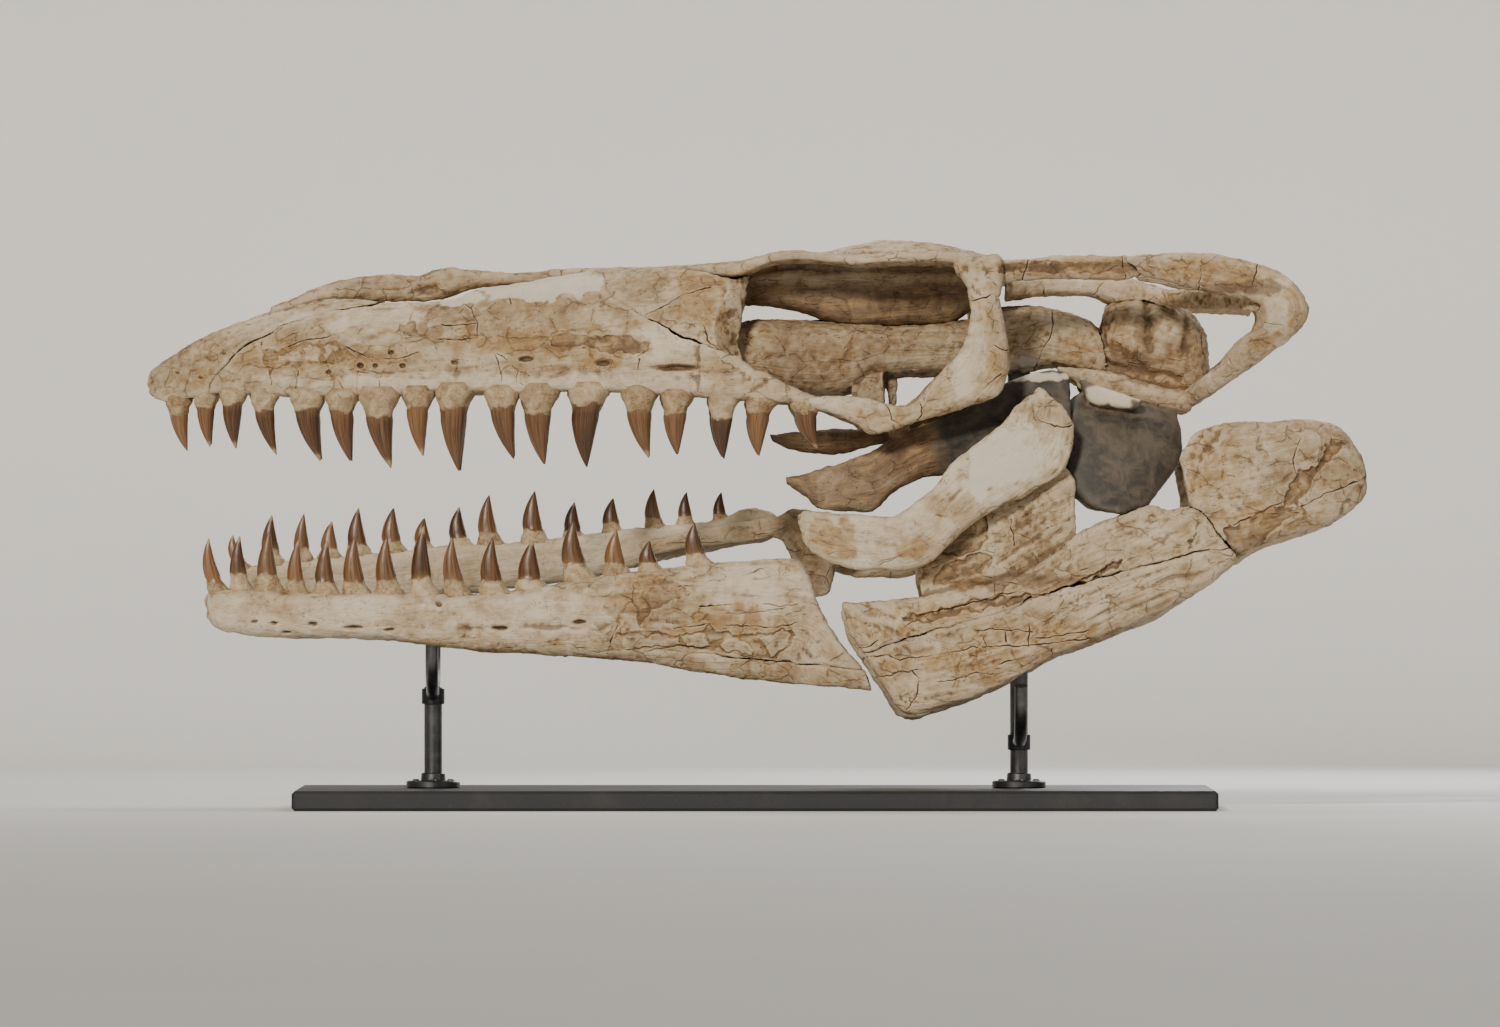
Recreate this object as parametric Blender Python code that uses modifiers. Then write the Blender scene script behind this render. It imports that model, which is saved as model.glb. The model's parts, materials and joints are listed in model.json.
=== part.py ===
"""Fossil mosasaur skull with open jaws, bone by bone, on a plain display stand.

Every table is in millimetres. X runs from the snout (minus) to the back of the skull, Y from the
animal's left side (minus) to its right, and Z is the height above the floor. The left bones are
drawn, and the right ones mirror them, apart from those that have slipped in the fossil.
"""

import math

import bmesh
import bpy
import numpy as np
from mathutils import Matrix, Vector

MM = 0.001

# Driving sizes
GAP = 0.45  # between bones that touch
MIDLINE_GAP = 0.2  # from the midline to each half of the snout
BASE_LENGTH, BASE_WIDTH, BASE_HEIGHT = 920.0, 372.0, 20.0
POST_RADIUS = 9.0
ARM_RADIUS = 6.5
FRONT_POST_X, REAR_POST_X = -323.0, 265.0

# Colours, and the bones that differ from the pale rest
PALE_RGB = (0.66, 0.58, 0.47)
OCHRE_RGB = (0.64, 0.50, 0.30)
BROWN_RGB = (0.42, 0.29, 0.17)
GREY_RGB = (0.36, 0.33, 0.30)
BLACK_RGB = (0.035, 0.035, 0.038)
STEEL_RGB = (0.10, 0.10, 0.11)
COLOURS = {
    "premaxilla": OCHRE_RGB,
    "parietal": OCHRE_RGB,
    "braincase": BROWN_RGB,
    "basisphenoid": BROWN_RGB,
    "quadrate_left": GREY_RGB,
    "quadrate_right": GREY_RGB,
}

# Half cross-sections of the snout as shares of its half width and height, from the midline on top
# round the outside to the midline of the palate. The first is the pointed front, the second the
# boxy back.
SNOUT_FRONT = (
    (0.0, 1.0), (0.34, 0.95), (0.64, 0.80), (0.86, 0.54), (0.98, 0.26),
    (1.0, 0.10), (0.94, 0.0), (0.74, 0.0), (0.60, 0.12), (0.0, 0.17),
)
SNOUT_BACK = (
    (0.0, 1.0), (0.40, 0.995), (0.62, 0.94), (0.78, 0.66), (0.95, 0.34),
    (1.0, 0.14), (0.97, 0.0), (0.80, 0.0), (0.70, 0.12), (0.0, 0.17),
)

# x, height of the top, height of the tooth row, half width, share of the boxy section,
# depth of the nostril trough beside the midline, bow of the end face round the orbit
SNOUT = (
    (-609, 431, 424, 5, 0.0, 0, 0),
    (-604, 441, 414, 16, 0.0, 0, 0),
    (-589, 452, 408, 26, 0.0, 0, 0),
    (-565, 466, 412, 34, 0.0, 0, 0),
    (-535, 479, 417, 41, 0.0, 0, 0),
    (-495, 495, 415, 49, 0.05, 0, 0),
    (-450, 509, 414, 57, 0.1, 2, 0),
    (-405, 515, 414, 64, 0.2, 10, 0),
    (-355, 511, 416, 70, 0.3, 15, 0),
    (-305, 514, 419, 76, 0.4, 17, 0),
    (-280, 524, 418, 79, 0.44, 15, 0),
    (-245, 529, 417, 83, 0.5, 14, 0),
    (-185, 538, 420, 90, 0.65, 10, 0),
    (-125, 541, 418, 97, 0.8, 6, 4),
    (-75, 544, 414, 103, 0.95, 8, 14),
    (-49, 545, 412, 107, 1.0, 8, 26),
    (-27, 546, 410, 110, 1.0, 8, 38),
)

# Where the premaxilla meets the maxilla, and the prefrontal, seen from the side
PREMAXILLA_REGION = (
    (-645, 380), (-541, 380), (-543, 428), (-529, 448), (-505, 469), (-473, 486),
    (-425, 501), (-355, 512), (-355, 600), (-645, 600),
)
PREFRONTAL_REGION = (
    (-155, 600), (-147, 520), (-109, 492), (-67, 470), (-13, 448), (55, 440), (55, 600),
)
SPLENIAL_REGION = (
    (-220, 100), (-205, 151), (-155, 158), (-55, 155), (35, 145), (105, 138), (135, 135), (135, 100),
)
ANGULAR_REGION = (
    (75, 60), (75, 148), (113, 157), (245, 197), (355, 234), (435, 252), (515, 262), (515, 60),
)

# A bar of bone is a row of stations. Each gives the upper edge (x, z), the lower edge (x, z), the
# depth y of its middle and half its thickness.
PREMAXILLA_BAR = (
    (-485, 503, -485, 482, 0, 18),
    (-445, 518, -445, 496, 0, 18),
    (-415, 530, -415, 505, 0, 15),
    (-375, 536, -375, 507, 0, 13),
    (-340, 535, -340, 507, 0, 12),
    (-318, 541, -318, 509, 0, 13),
    (-300, 542, -300, 515, 0, 13),
    (-275, 539, -275, 522, 0, 11),
    (-230, 537, -230, 525, 0, 11),
    (-193, 542, -193, 528, 0, 15),
)
FRONTAL_PLATE = (
    (-195, 541, -195, 529, 0, 18),
    (-155, 541, -155, 528, 0, 30),
    (-105, 543, -105, 530, 0, 44),
    (-55, 546, -55, 531, 0, 60),
    (-20, 548, -20, 530, 0, 76),
    (5, 553, 5, 539, 0, 88),
    (30, 559, 30, 545, 0, 94),
    (70, 557, 70, 544, 0, 97),
    (105, 554, 105, 541, 0, 101),
    (145, 557, 145, 544, 0, 106),
    (190, 558, 190, 543, 0, 108),
    (220, 553, 220, 534, 0, 104),
    (241, 549, 241, 530, 0, 80),
    (249, 545, 249, 532, 0, 60),
)
FRONTAL_DOME = (
    (65, 556, 65, 540, 0, 40),
    (95, 563, 95, 540, 0, 54),
    (131, 569, 131, 540, 0, 60),
    (185, 565, 185, 540, 0, 62),
    (231, 555, 231, 540, 0, 52),
)
FRONTAL_KEEL = (
    (-19, 538, -18, 506, 0, 22),
    (15, 546, 15, 503, 0, 30),
    (45, 546, 49, 497, 0, 33),
    (85, 546, 89, 484, 0, 34),
    (145, 546, 147, 482, 0, 34),
    (191, 546, 191, 485, 0, 30),
    (219, 541, 219, 502, 0, 24),
)
MAXILLA_PROCESS = (
    (-55, 470, -55, 412, -101, 8),
    (-29, 464, -29, 411, -105, 8.5),
    (-9, 447, -9, 409, -108, 8.5),
    (17, 432, 15, 407, -111, 8.5),
    (43, 419, 39, 405, -114, 7.5),
    (63, 411, 61, 403, -116, 5),
)
JUGAL = (
    (53, 412, 53, 403, -119, 4.5),
    (80, 412, 73, 396, -122, 7),
    (106, 411, 97, 385, -126, 8),
    (129, 406, 116, 374, -130, 9),
    (146, 403, 142, 379, -134, 9.5),
    (160, 409, 167, 388, -138, 10.5),
    (175, 426, 207, 401, -142, 12),
    (190, 440, 240, 413, -145, 13),
    (205, 456, 251, 441, -146, 12),
    (213, 479, 248, 477, -144, 10.5),
    (215, 501, 243, 507, -140, 10),
    (211, 519, 240, 529, -134, 9),
)
POSTORBITAL_FOOT = (
    (197, 548, 201, 534, -112, 14),
    (217, 552, 209, 526, -122, 15),
    (243, 553, 213, 516, -130, 14),
    (247, 535, 216, 508, -134, 12),
    (244, 512, 217, 500, -137, 9),
)
TEMPORAL_BAR = (
    (231, 550, 231, 522, -124, 12),
    (257, 548, 257, 527, -119, 9),
    (295, 552, 295, 528, -117, 8.5),
    (340, 553, 340, 527, -117, 8),
    (375, 552, 373, 529, -119, 7),
    (395, 550, 391, 539, -120, 5),
)
SQUAMOSAL = (
    (367, 551, 387, 531, -124, 7),
    (410, 554, 411, 526, -127, 9),
    (455, 554, 451, 516, -134, 11),
    (495, 546, 481, 509, -143, 13),
    (529, 532, 501, 503, -151, 15),
    (549, 506, 507, 493, -155, 16),
    (545, 482, 502, 481, -150, 15),
    (515, 456, 485, 468, -134, 13),
    (485, 435, 468, 448, -110, 12),
    (455, 413, 445, 431, -82, 12),
    (435, 401, 429, 418, -62, 11),
)
PARIETAL_TABLE = (
    (251.2, 544, 251.2, 508, 0, 58),
    (263, 533, 263, 510, 0, 40),
    (295, 534, 291, 513, 0, 25),
    (340, 533, 335, 513, 0, 22),
    (371, 532, 367, 502, 0, 26),
    (399, 524, 399, 500, 0, 22),
    (413, 520, 413, 502, 0, 12),
)
PARIETAL_WING = (
    (387, 522, 387, 501, -10, 11),
    (425, 520, 425, 499, -46, 10),
    (460, 518, 457, 498, -86, 10),
    (491, 510, 487, 497, -124, 9),
    (503, 506, 500, 496, -140, 8),
)
BRAINCASE = (
    (352, 503, 337, 436, 0, 30),
    (363, 509, 347, 422, 0, 40),
    (387, 511, 377, 411, 0, 50),
    (415, 506, 409, 404, 0, 54),
    (438, 498, 434, 402, 0, 52),
    (451, 480, 450, 412, 0, 40),
    (455, 466, 455, 432, 0, 20),
)
EAR_BAR = (
    (301, 443, 313, 427, -32, 10),
    (347, 438, 339, 416, -42, 16),
    (383, 428, 375, 406, -48, 20),
    (415, 421, 407, 397, -50, 21),
    (439, 417, 435, 396, -50, 18),
)
SPHENOID = (
    (229, 492, 229, 432, 0, 40),
    (257, 504, 257, 435, 0, 38),
    (300, 501, 300, 441, 0, 38),
    (335, 489, 331, 434, 0, 40),
    (361, 468, 361, 424, 0, 40),
)
PALATE_BLOCK = (
    (-29, 486, -29, 434, 0, 50),
    (7, 491, 7, 423, 0, 50),
    (45, 490, 45, 415, 0, 48),
    (90, 487, 90, 414, 0, 46),
    (118, 486, 118, 430, 0, 45),
    (145, 485, 145, 432, 0, 44),
    (195, 488, 195, 433, 0, 42),
    (227, 492, 227, 433, 0, 40),
)
PALATE_DROP = (
    (96, 440, 99, 404, -28, 10),
    (113, 440, 113, 403, -30, 11),
    (129, 440, 129, 402, -30, 10),
)
PALATE_PEG = (
    (129, 440, 135, 405, -14, 7),
    (143, 440, 141, 403, -14, 7),
)
PTERYGOID_LEFT = (
    (29, 333, 31, 325, -74, 5),
    (45, 334, 50, 313, -76, 7),
    (65, 340, 64, 301, -78, 10),
    (95, 349, 93, 298, -82, 12),
    (125, 361, 117, 298, -86, 12),
    (150, 376, 136, 315, -90, 12),
    (175, 386, 162, 330, -93, 11),
    (210, 400, 195, 335, -96, 9),
    (250, 426, 240, 338, -97, 7.5),
    (290, 439, 285, 338, -97, 7),
    (313, 437, 320, 334, -98, 7),
)
PTERYGOID_RIGHT = (
    (13, 376, 17, 368, 60, 6),
    (35, 377, 35, 360, 62, 9),
    (65, 379, 65, 356, 66, 10),
    (95, 380, 93, 357, 70, 10),
    (120, 382, 117, 363, 74, 10),
    (155, 392, 149, 366, 80, 10),
    (200, 410, 195, 372, 90, 9),
    (250, 420, 245, 378, 96, 7.5),
    (290, 433, 295, 372, 97, 7),
    (313, 431, 320, 360, 98, 7),
)
ECTOPTERYGOID = ((143, -86, 376), (145, -108, 386), (147, -132, 396))  # its centre line
ECTOPTERYGOID_RADIUS = 9.0
QUADRATE = (
    (331, 421, 421, 397, -76, 8),
    (311, 404, 425, 380, -86, 12),
    (301, 380, 426, 358, -97, 15),
    (303, 350, 417, 336, -108, 16),
    (315, 320, 397, 312, -120, 16),
    (337, 301, 383, 293, -133, 13),
)
EAR_FRAGMENT = (
    (323, 430, 326, 419, -92, 4),
    (333, 427, 335, 405, -94, 7),
    (357, 418, 355, 401, -97, 8),
    (385, 409, 383, 400, -99, 6),
)
DENTARY = (
    (-551, 207, -549, 191, -26, 10),
    (-547, 215, -541, 181, -28, 14),
    (-530, 219, -525, 176, -32, 17),
    (-495, 219, -493, 172, -40, 19),
    (-415, 215, -415, 170, -54, 20),
    (-335, 214, -335, 165, -66, 21),
    (-255, 217, -255, 157, -77, 22),
    (-195, 226, -195, 153, -85, 22),
    (-135, 236, -135, 150, -92, 21),
    (-75, 243, -75, 141, -98, 20),
    (-15, 249, -15, 130, -103, 17),
    (30, 251, 35, 125, -107, 14),
    (49, 243, 65, 123, -109, 12),
    (61, 209, 88, 121, -110, 11),
    (84, 169, 105, 120, -111, 9),
    (111, 137, 116, 119, -112, 7),
)
DENTARY_RIGHT = (
    (-523, 226, -521, 211, 28, 9),
    (-517, 239, -511, 197, 31, 13),
    (-475, 247, -471, 199, 42, 16),
    (-415, 253, -411, 203, 52, 17),
    (-335, 261, -331, 211, 62, 18),
    (-255, 266, -251, 219, 70, 18),
    (-195, 271, -191, 227, 76, 17),
    (-135, 278, -131, 239, 82, 16),
    (-75, 285, -70, 252, 88, 14),
    (-35, 290, -30, 260, 91, 12),
    (-5, 301, -3, 265, 94, 11),
    (17, 296, 15, 269, 96, 9),
    (28, 287, 27, 279, 97, 6),
)
SPLENIAL_RIGHT = (
    (-115, 266, -113, 252, 68, 4),
    (-55, 280, -53, 262, 74, 6),
    (-5, 290, -3, 266, 79, 6.5),
    (22, 294, 24, 270, 83, 7),
    (34, 300, 38, 248, 86, 7),
    (44, 301, 48, 217, 89, 7),
    (55, 300, 61, 211, 92, 6.5),
    (73, 292, 76, 216, 95, 5),
    (83, 288, 85, 244, 104, 5),
    (107, 286, 109, 250, 118, 5),
    (133, 280, 135, 254, 128, 5),
)
SURANGULAR = (
    (87, 206, 94, 177, -114, 8),
    (103, 208, 107, 157, -117, 11),
    (130, 209, 127, 125, -121, 13),
    (160, 212, 152, 96, -124, 14),
    (195, 219, 195, 106, -127, 15),
    (245, 229, 245, 124, -130, 16),
    (285, 249, 291, 150, -132, 16),
    (325, 277, 345, 173, -134, 17),
    (360, 294, 390, 190, -136, 18),
    (392, 303, 425, 208, -138, 19),
    (410, 297, 445, 222, -139, 20),
    (425, 300, 465, 236, -140, 20),
    (441, 302, 481, 249, -140, 18),
)
BUTTRESS = (
    (161, 245, 166, 214, -122, 6),
    (188, 277, 186, 205, -124, 8),
    (231, 304, 231, 214, -126, 8.5),
    (275, 320, 277, 226, -127, 8.5),
    (304, 341, 306, 244, -128, 8),
    (318, 330, 319, 262, -128, 6),
)
ARTICULAR = (
    (423, 352, 431, 306, -142, 9),
    (435, 372, 451, 262, -142, 16),
    (465, 384, 479, 251, -142, 21),
    (510, 385, 515, 268, -141, 23),
    (550, 388, 555, 281, -139, 22),
    (583, 381, 590, 296, -137, 18),
    (603, 354, 606, 313, -135, 13),
    (609, 334, 609, 322, -134, 7),
)
CORONOID = (
    (42, 293, 44, 281, -130, 5),
    (51, 298, 57, 257, -133, 7),
    (85, 296, 93, 241, -137, 9),
    (125, 293, 130, 240, -141, 10),
    (142, 294, 150, 239, -144, 10.5),
    (160, 306, 175, 249, -146, 11),
    (180, 324, 207, 279, -147, 12),
    (195, 345, 245, 304, -147, 13),
    (220, 366, 275, 317, -145, 12),
    (245, 385, 307, 339, -141, 10),
    (263, 405, 317, 379, -136, 8),
    (282, 422, 305, 403, -132, 5.5),
)

# A tooth is x where it leaves the jaw, x of its tip, height of its tip, and the width of its neck.
UPPER_TEETH = (
    (-577, -569, 358, 27), (-550, -546, 362, 24), (-522, -520, 361, 28), (-491, -479, 354, 29),
    (-448, -435, 348, 34), (-413, -405, 348, 32), (-375, -364, 341, 40), (-336, -332, 353, 32),
    (-300, -296, 338, 37), (-252, -241, 350, 35), (-215, -210, 345, 40), (-165, -168, 342, 41),
    (-115, -106, 351, 36), (-77, -77, 355, 34), (-30, -31, 350, 32), (7, 4, 353, 33),
    (51, 62, 360, 32),
)
LOWER_TEETH = (
    (-535, -547, 271, 24), (-513, -516, 273, 26), (-485, -486, 277, 30), (-458, -457, 269, 24),
    (-428, -428, 268, 28), (-396, -400, 272, 31), (-363, -368, 272, 31), (-330, -331, 283, 30),
    (-295, -302, 271, 29), (-259, -262, 271, 31), (-222, -222, 269, 33), (-173, -181, 288, 35),
    (-136, -138, 279, 30), (-102, -105, 268, 28), (-52, -60, 286, 30),
)
LOWER_TEETH_RIGHT = (
    (-510, -525, 274, 22), (-483, -486, 294, 27), (-454, -454, 295, 24), (-426, -426, 288, 26),
    (-397, -399, 301, 28), (-363, -364, 301, 29), (-332, -333, 291, 25), (-295, -298, 302, 27),
    (-265, -268, 314, 29), (-221, -222, 318, 30), (-181, -182, 307, 25), (-142, -143, 311, 26),
    (-99, -102, 320, 24), (-68, -69, 317, 21), (-34, -34, 317, 19),
)
RIGHT_TOOTH_SHIFT = 0.5  # how far behind the left ones the right upper teeth stand
RIGHT_TOOTH_SWAY = 3.5  # and how much that varies from tooth to tooth
UPPER_ROW = (  # x and distance from the midline of the upper teeth
    (-609, 8), (-577, 19), (-550, 28), (-522, 36), (-485, 43), (-445, 50), (-405, 56), (-355, 62),
    (-305, 67), (-245, 73), (-185, 79), (-125, 86), (-75, 92), (-35, 99), (5, 105), (55, 112),
)
TOOTH_SIDES = 6
# Share of a tooth's length, and width as a share of its neck, from the root to below the tip
TOOTH_RINGS = ((-0.22, 0.84), (0.03, 1.0), (0.34, 0.72), (0.74, 0.40))
TOOTH_FLATNESS = 0.78

RIGHT_JAW_DROP = 8.0  # how far the right back half of the jaw has slipped down


def clear_scene():
    for old in list(bpy.data.objects):
        bpy.data.objects.remove(old, do_unlink=True)


def collection(name, shown=True):
    made = bpy.data.collections.new(name)
    made.hide_render = not shown
    bpy.context.scene.collection.children.link(made)
    return made


def material(name, rgb, roughness, metallic=0.0):
    made = bpy.data.materials.new(name)
    made.use_nodes = True
    shader = made.node_tree.nodes["Principled BSDF"]
    shader.inputs["Base Color"].default_value = (*rgb, 1.0)
    shader.inputs["Roughness"].default_value = roughness
    shader.inputs["Metallic"].default_value = metallic
    made.diffuse_color = (*rgb, 1.0)
    return made


def bone_finish(name):
    return material(name + "_finish", COLOURS.get(name, PALE_RGB), 0.75)


def put(mesh, name, place):
    made = bpy.data.objects.new(name, mesh)
    place.objects.link(made)
    return made


def between(rows, steps):
    """Rows of a table with steps - 1 more between each two, on a smooth curve through them."""
    rows = np.array(rows, float)
    if steps == 1:
        return rows
    ends = np.vstack([2 * rows[0] - rows[1], rows, 2 * rows[-1] - rows[-2]])
    out = []
    for i in range(len(rows) - 1):
        a, b, c, d = ends[i : i + 4]
        for t in np.arange(steps) / steps:
            bend = (2 * a - 5 * b + 4 * c - d) * t * t + (3 * b - a - 3 * c + d) * t**3
            out.append(b + 0.5 * ((c - a) * t + bend))
    out.append(rows[-1])
    return np.array(out)


def loft(rings, name, place, tip=None):
    """A closed mesh through rings of points in millimetres, capped, or run out to a tip."""
    shape = bmesh.new()
    rows = [[shape.verts.new(Vector(point) * MM) for point in ring] for ring in rings]
    count = len(rows[0])
    for first, second in zip(rows, rows[1:]):
        for i in range(count):
            j = (i + 1) % count
            shape.faces.new((first[i], first[j], second[j], second[i]))
    shape.faces.new(list(reversed(rows[0])))
    if tip is None:
        shape.faces.new(rows[-1])
    else:
        point = shape.verts.new(Vector(tip) * MM)
        for i in range(count):
            shape.faces.new((rows[-1][i], rows[-1][(i + 1) % count], point))
    bmesh.ops.triangulate(shape, faces=shape.faces[:])
    bmesh.ops.recalc_face_normals(shape, faces=shape.faces[:])
    mesh = bpy.data.meshes.new(name)
    shape.to_mesh(mesh)
    shape.free()
    return put(mesh, name, place)


def rounded(angle, power):
    """A point of a circle, pushed out towards the corners as power rises above 2."""
    c, s = math.cos(angle), math.sin(angle)
    return (
        math.copysign(abs(c) ** (2 / power), c),
        math.copysign(abs(s) ** (2 / power), s),
    )


def bar(stations, name, place, sides=10, power=2.5, steps=1, side=-1):
    """Bone between two edges seen from the side, with rounded sections across the depth.

    Tables give the left side, so side=1 mirrors them. The ring is scaled to reach both edges.
    """
    reach = rounded(math.pi / sides, power)[0]
    rings = []
    for upper_x, upper_z, lower_x, lower_z, depth, half in between(stations, steps):
        middle = np.array([(upper_x + lower_x) / 2, -side * depth, (upper_z + lower_z) / 2])
        across = np.array([(upper_x - lower_x) / 2, 0, (upper_z - lower_z) / 2]) / reach
        ring = []
        for i in range(sides):
            up, out = rounded(2 * math.pi * (i + 0.5) / sides, power)
            ring.append(middle + across * up + np.array([0, half * out, 0]))
        rings.append(ring)
    return loft(rings, name, place)


def snout_ring(row, side):
    """The outline of one half of the snout at one station, from its top to its palate."""
    x, top, base, half_width, boxy, trough, bow = row
    section = (1 - boxy) * np.array(SNOUT_FRONT) + boxy * np.array(SNOUT_BACK)
    ring = []
    for i, (out, up) in enumerate(section):
        z = base + up * (top - base) - (trough if i == 0 else 0)
        height = (z - (top + base) / 2) / ((top - base) / 2)
        y = side * max(out * half_width, MIDLINE_GAP)
        ring.append((x + bow * (height * height - 0.35), y, z))
    return ring


def snout_half(name, place, side):
    """The left (-1) or right (1) half of the snout, with a flat face beside the midline."""
    return loft([snout_ring(row, side) for row in SNOUT], name, place)


def snout_whole(name, place):
    rings = []
    for row in SNOUT:
        left, right = snout_ring(row, -1), snout_ring(row, 1)
        rings.append(left + right[::-1])
    return loft(rings, name, place)


def along(table, x, column=1):
    """A value of a table of x and other columns, at x."""
    return float(np.interp(x, [row[0] for row in table], [row[column] for row in table]))


def tooth(base, tip, width, name, place):
    """A recurved cone with its root sunk in the jaw. Its rings bow forward on the way down."""
    base, tip = np.array(base, float), np.array(tip, float)
    lean = abs(tip[0] - base[0]) * 0.5 + width * 0.12
    rings = []
    for share, wide in TOOTH_RINGS:
        middle = base + (tip - base) * share
        middle[0] -= lean * max(share, 0) * (1 - share)
        radius = width / 2 * wide
        turns = [2 * math.pi * i / TOOTH_SIDES for i in range(TOOTH_SIDES)]
        ring = [(math.cos(t) * radius, math.sin(t) * radius * TOOTH_FLATNESS, 0) for t in turns]
        rings.append([middle + np.array(point) for point in ring])
    return loft(rings, name, place, tip)


def upper_tooth(i, side, place):
    x, tip_x, tip_z, width = UPPER_TEETH[i]
    if side > 0:
        shift = RIGHT_TOOTH_SHIFT + RIGHT_TOOTH_SWAY * math.sin(1.7 * i)
        x, tip_x = x + shift, tip_x + shift
        tip_z += 3.0 * math.sin(2.3 * i)
    depth = side * along(UPPER_ROW, x)
    base_z = along(SNOUT, x, 2) if x < -27 else along(MAXILLA_PROCESS, x, 3) + 1
    return tooth((x, depth, base_z), (tip_x, depth * 0.97, tip_z), width, "tooth", place)


def lower_teeth(table, stations, side, place):
    """Teeth of one lower jaw, rooted in its upper edge."""
    made = []
    for x, tip_x, tip_z, width in table:
        depth = -side * along(stations, x, 4)
        base = (x, depth, along(stations, x) - 3)
        made.append(tooth(base, (tip_x, depth * 1.02, tip_z), width, "tooth", place))
    return made


def prism(outline, name, place):
    """An outline seen from the side, run through the whole width of the skull."""
    curve = bpy.data.curves.new(name, "CURVE")
    curve.dimensions = "2D"
    curve.fill_mode = "BOTH"
    curve.extrude = 0.4
    spline = curve.splines.new("POLY")
    spline.points.add(len(outline) - 1)
    for point, (x, z) in zip(spline.points, outline):
        point.co = (x * MM, z * MM, 0, 1)
    spline.use_cyclic_u = True
    drawn = put(curve, name, place)
    bpy.context.view_layer.update()
    graph = bpy.context.evaluated_depsgraph_get()
    mesh = bpy.data.meshes.new_from_object(drawn.evaluated_get(graph))
    mesh.transform(Matrix.Rotation(math.pi / 2, 4, "X"))
    bpy.data.objects.remove(drawn, do_unlink=True)
    shape = bmesh.new()
    shape.from_mesh(mesh)
    bmesh.ops.remove_doubles(shape, verts=shape.verts[:], dist=1e-6)
    bmesh.ops.recalc_face_normals(shape, faces=shape.faces[:])
    shape.to_mesh(mesh)
    shape.free()
    return put(mesh, name, place)


def rod(points, radius, name, place, sides=8):
    """A bent metal rod through points in millimetres."""
    points = [Vector(point) for point in points]
    rings = []
    for i, point in enumerate(points):
        before, after = points[max(i - 1, 0)], points[min(i + 1, len(points) - 1)]
        ahead = (after - before).normalized()
        across = Vector((1, 0, 0)) if abs(ahead.x) < 0.9 else Vector((0, 1, 0))
        first = ahead.cross(across).normalized()
        second = ahead.cross(first)
        turns = [2 * math.pi * k / sides for k in range(sides)]
        rings.append([point + radius * (first * math.cos(t) + second * math.sin(t)) for t in turns])
    return loft(rings, name, place)


def grown(source, place, by=GAP):
    """A copy with every face moved outwards, to cut a neighbour clear of it.

    The shift d of a point solves n . d = by for each direction n of the faces that meet there.
    """
    shape = bmesh.new()
    shape.from_mesh(source.data)
    bmesh.ops.recalc_face_normals(shape, faces=shape.faces[:])
    shape.normal_update()
    shifts = []
    for vertex in shape.verts:
        normals = []
        for face in vertex.link_faces:
            if all(face.normal.dot(known) < 0.97 for known in normals):
                normals.append(face.normal.copy())
        shift = np.linalg.pinv(np.array(normals), rcond=0.12) @ np.full(len(normals), by)
        length = float(np.linalg.norm(shift))
        if length > 3 * by:
            shift = shift * (3 * by / length)
        shifts.append((vertex, Vector(shift) * MM))
    for vertex, shift in shifts:
        vertex.co += shift
    mesh = bpy.data.meshes.new(source.name + "_cutter")
    shape.to_mesh(mesh)
    shape.free()
    return put(mesh, mesh.name, place)


def is_closed(mesh):
    shape = bmesh.new()
    shape.from_mesh(mesh)
    closed = all(len(edge.link_faces) == 2 for edge in shape.edges)
    shape.free()
    return closed


def boolean(target, operands, operation):
    """Joins target with a collection of closed meshes, or cuts it by them, and removes them."""
    held = bpy.data.collections.new("operands")
    bpy.context.scene.collection.children.link(held)
    for operand in operands:
        for user in list(operand.users_collection):
            user.objects.unlink(operand)
        held.objects.link(operand)
    step = target.modifiers.new(operation.lower(), "BOOLEAN")
    step.operation = operation
    step.operand_type = "COLLECTION"
    step.collection = held
    for solver in ("EXACT", "MANIFOLD"):
        step.solver = solver
        bpy.context.view_layer.update()
        graph = bpy.context.evaluated_depsgraph_get()
        mesh = bpy.data.meshes.new_from_object(target.evaluated_get(graph))
        if is_closed(mesh):
            break
    target.modifiers.clear()
    target.data = mesh
    for operand in list(held.objects):
        bpy.data.objects.remove(operand, do_unlink=True)
    bpy.data.collections.remove(held)
    return target


def largest_piece(shape):
    """Deletes all but the closed surface of a bmesh with the most area."""
    seen, groups = set(), []
    for start in shape.faces:
        if start in seen:
            continue
        group, stack = [], [start]
        seen.add(start)
        while stack:
            face = stack.pop()
            group.append(face)
            for edge in face.edges:
                for near in edge.link_faces:
                    if near not in seen:
                        seen.add(near)
                        stack.append(near)
        groups.append(group)
    groups.sort(key=lambda group: sum(face.calc_area() for face in group))
    for group in groups[:-1]:
        bmesh.ops.delete(shape, geom=group, context="FACES")
    bmesh.ops.delete(shape, geom=[v for v in shape.verts if not v.link_faces], context="VERTS")


def tidy(target):
    """Keeps the largest piece of a cut mesh and merges its slivers, as far as it stays closed."""
    for merge, flat in ((2e-5, 1.2), (2e-5, 0.0), (2e-6, 0.0), (0.0, 0.0)):
        shape = bmesh.new()
        shape.from_mesh(target.data)
        largest_piece(shape)
        if merge:
            bmesh.ops.remove_doubles(shape, verts=shape.verts[:], dist=merge)
        if flat:
            angle = math.radians(flat)
            bmesh.ops.dissolve_limit(
                shape, angle_limit=angle, verts=shape.verts[:], edges=shape.edges[:]
            )
        bmesh.ops.triangulate(shape, faces=shape.faces[:])
        mesh = bpy.data.meshes.new(target.name)
        shape.to_mesh(mesh)
        shape.free()
        if is_closed(mesh):
            break
    target.data = mesh


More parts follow.
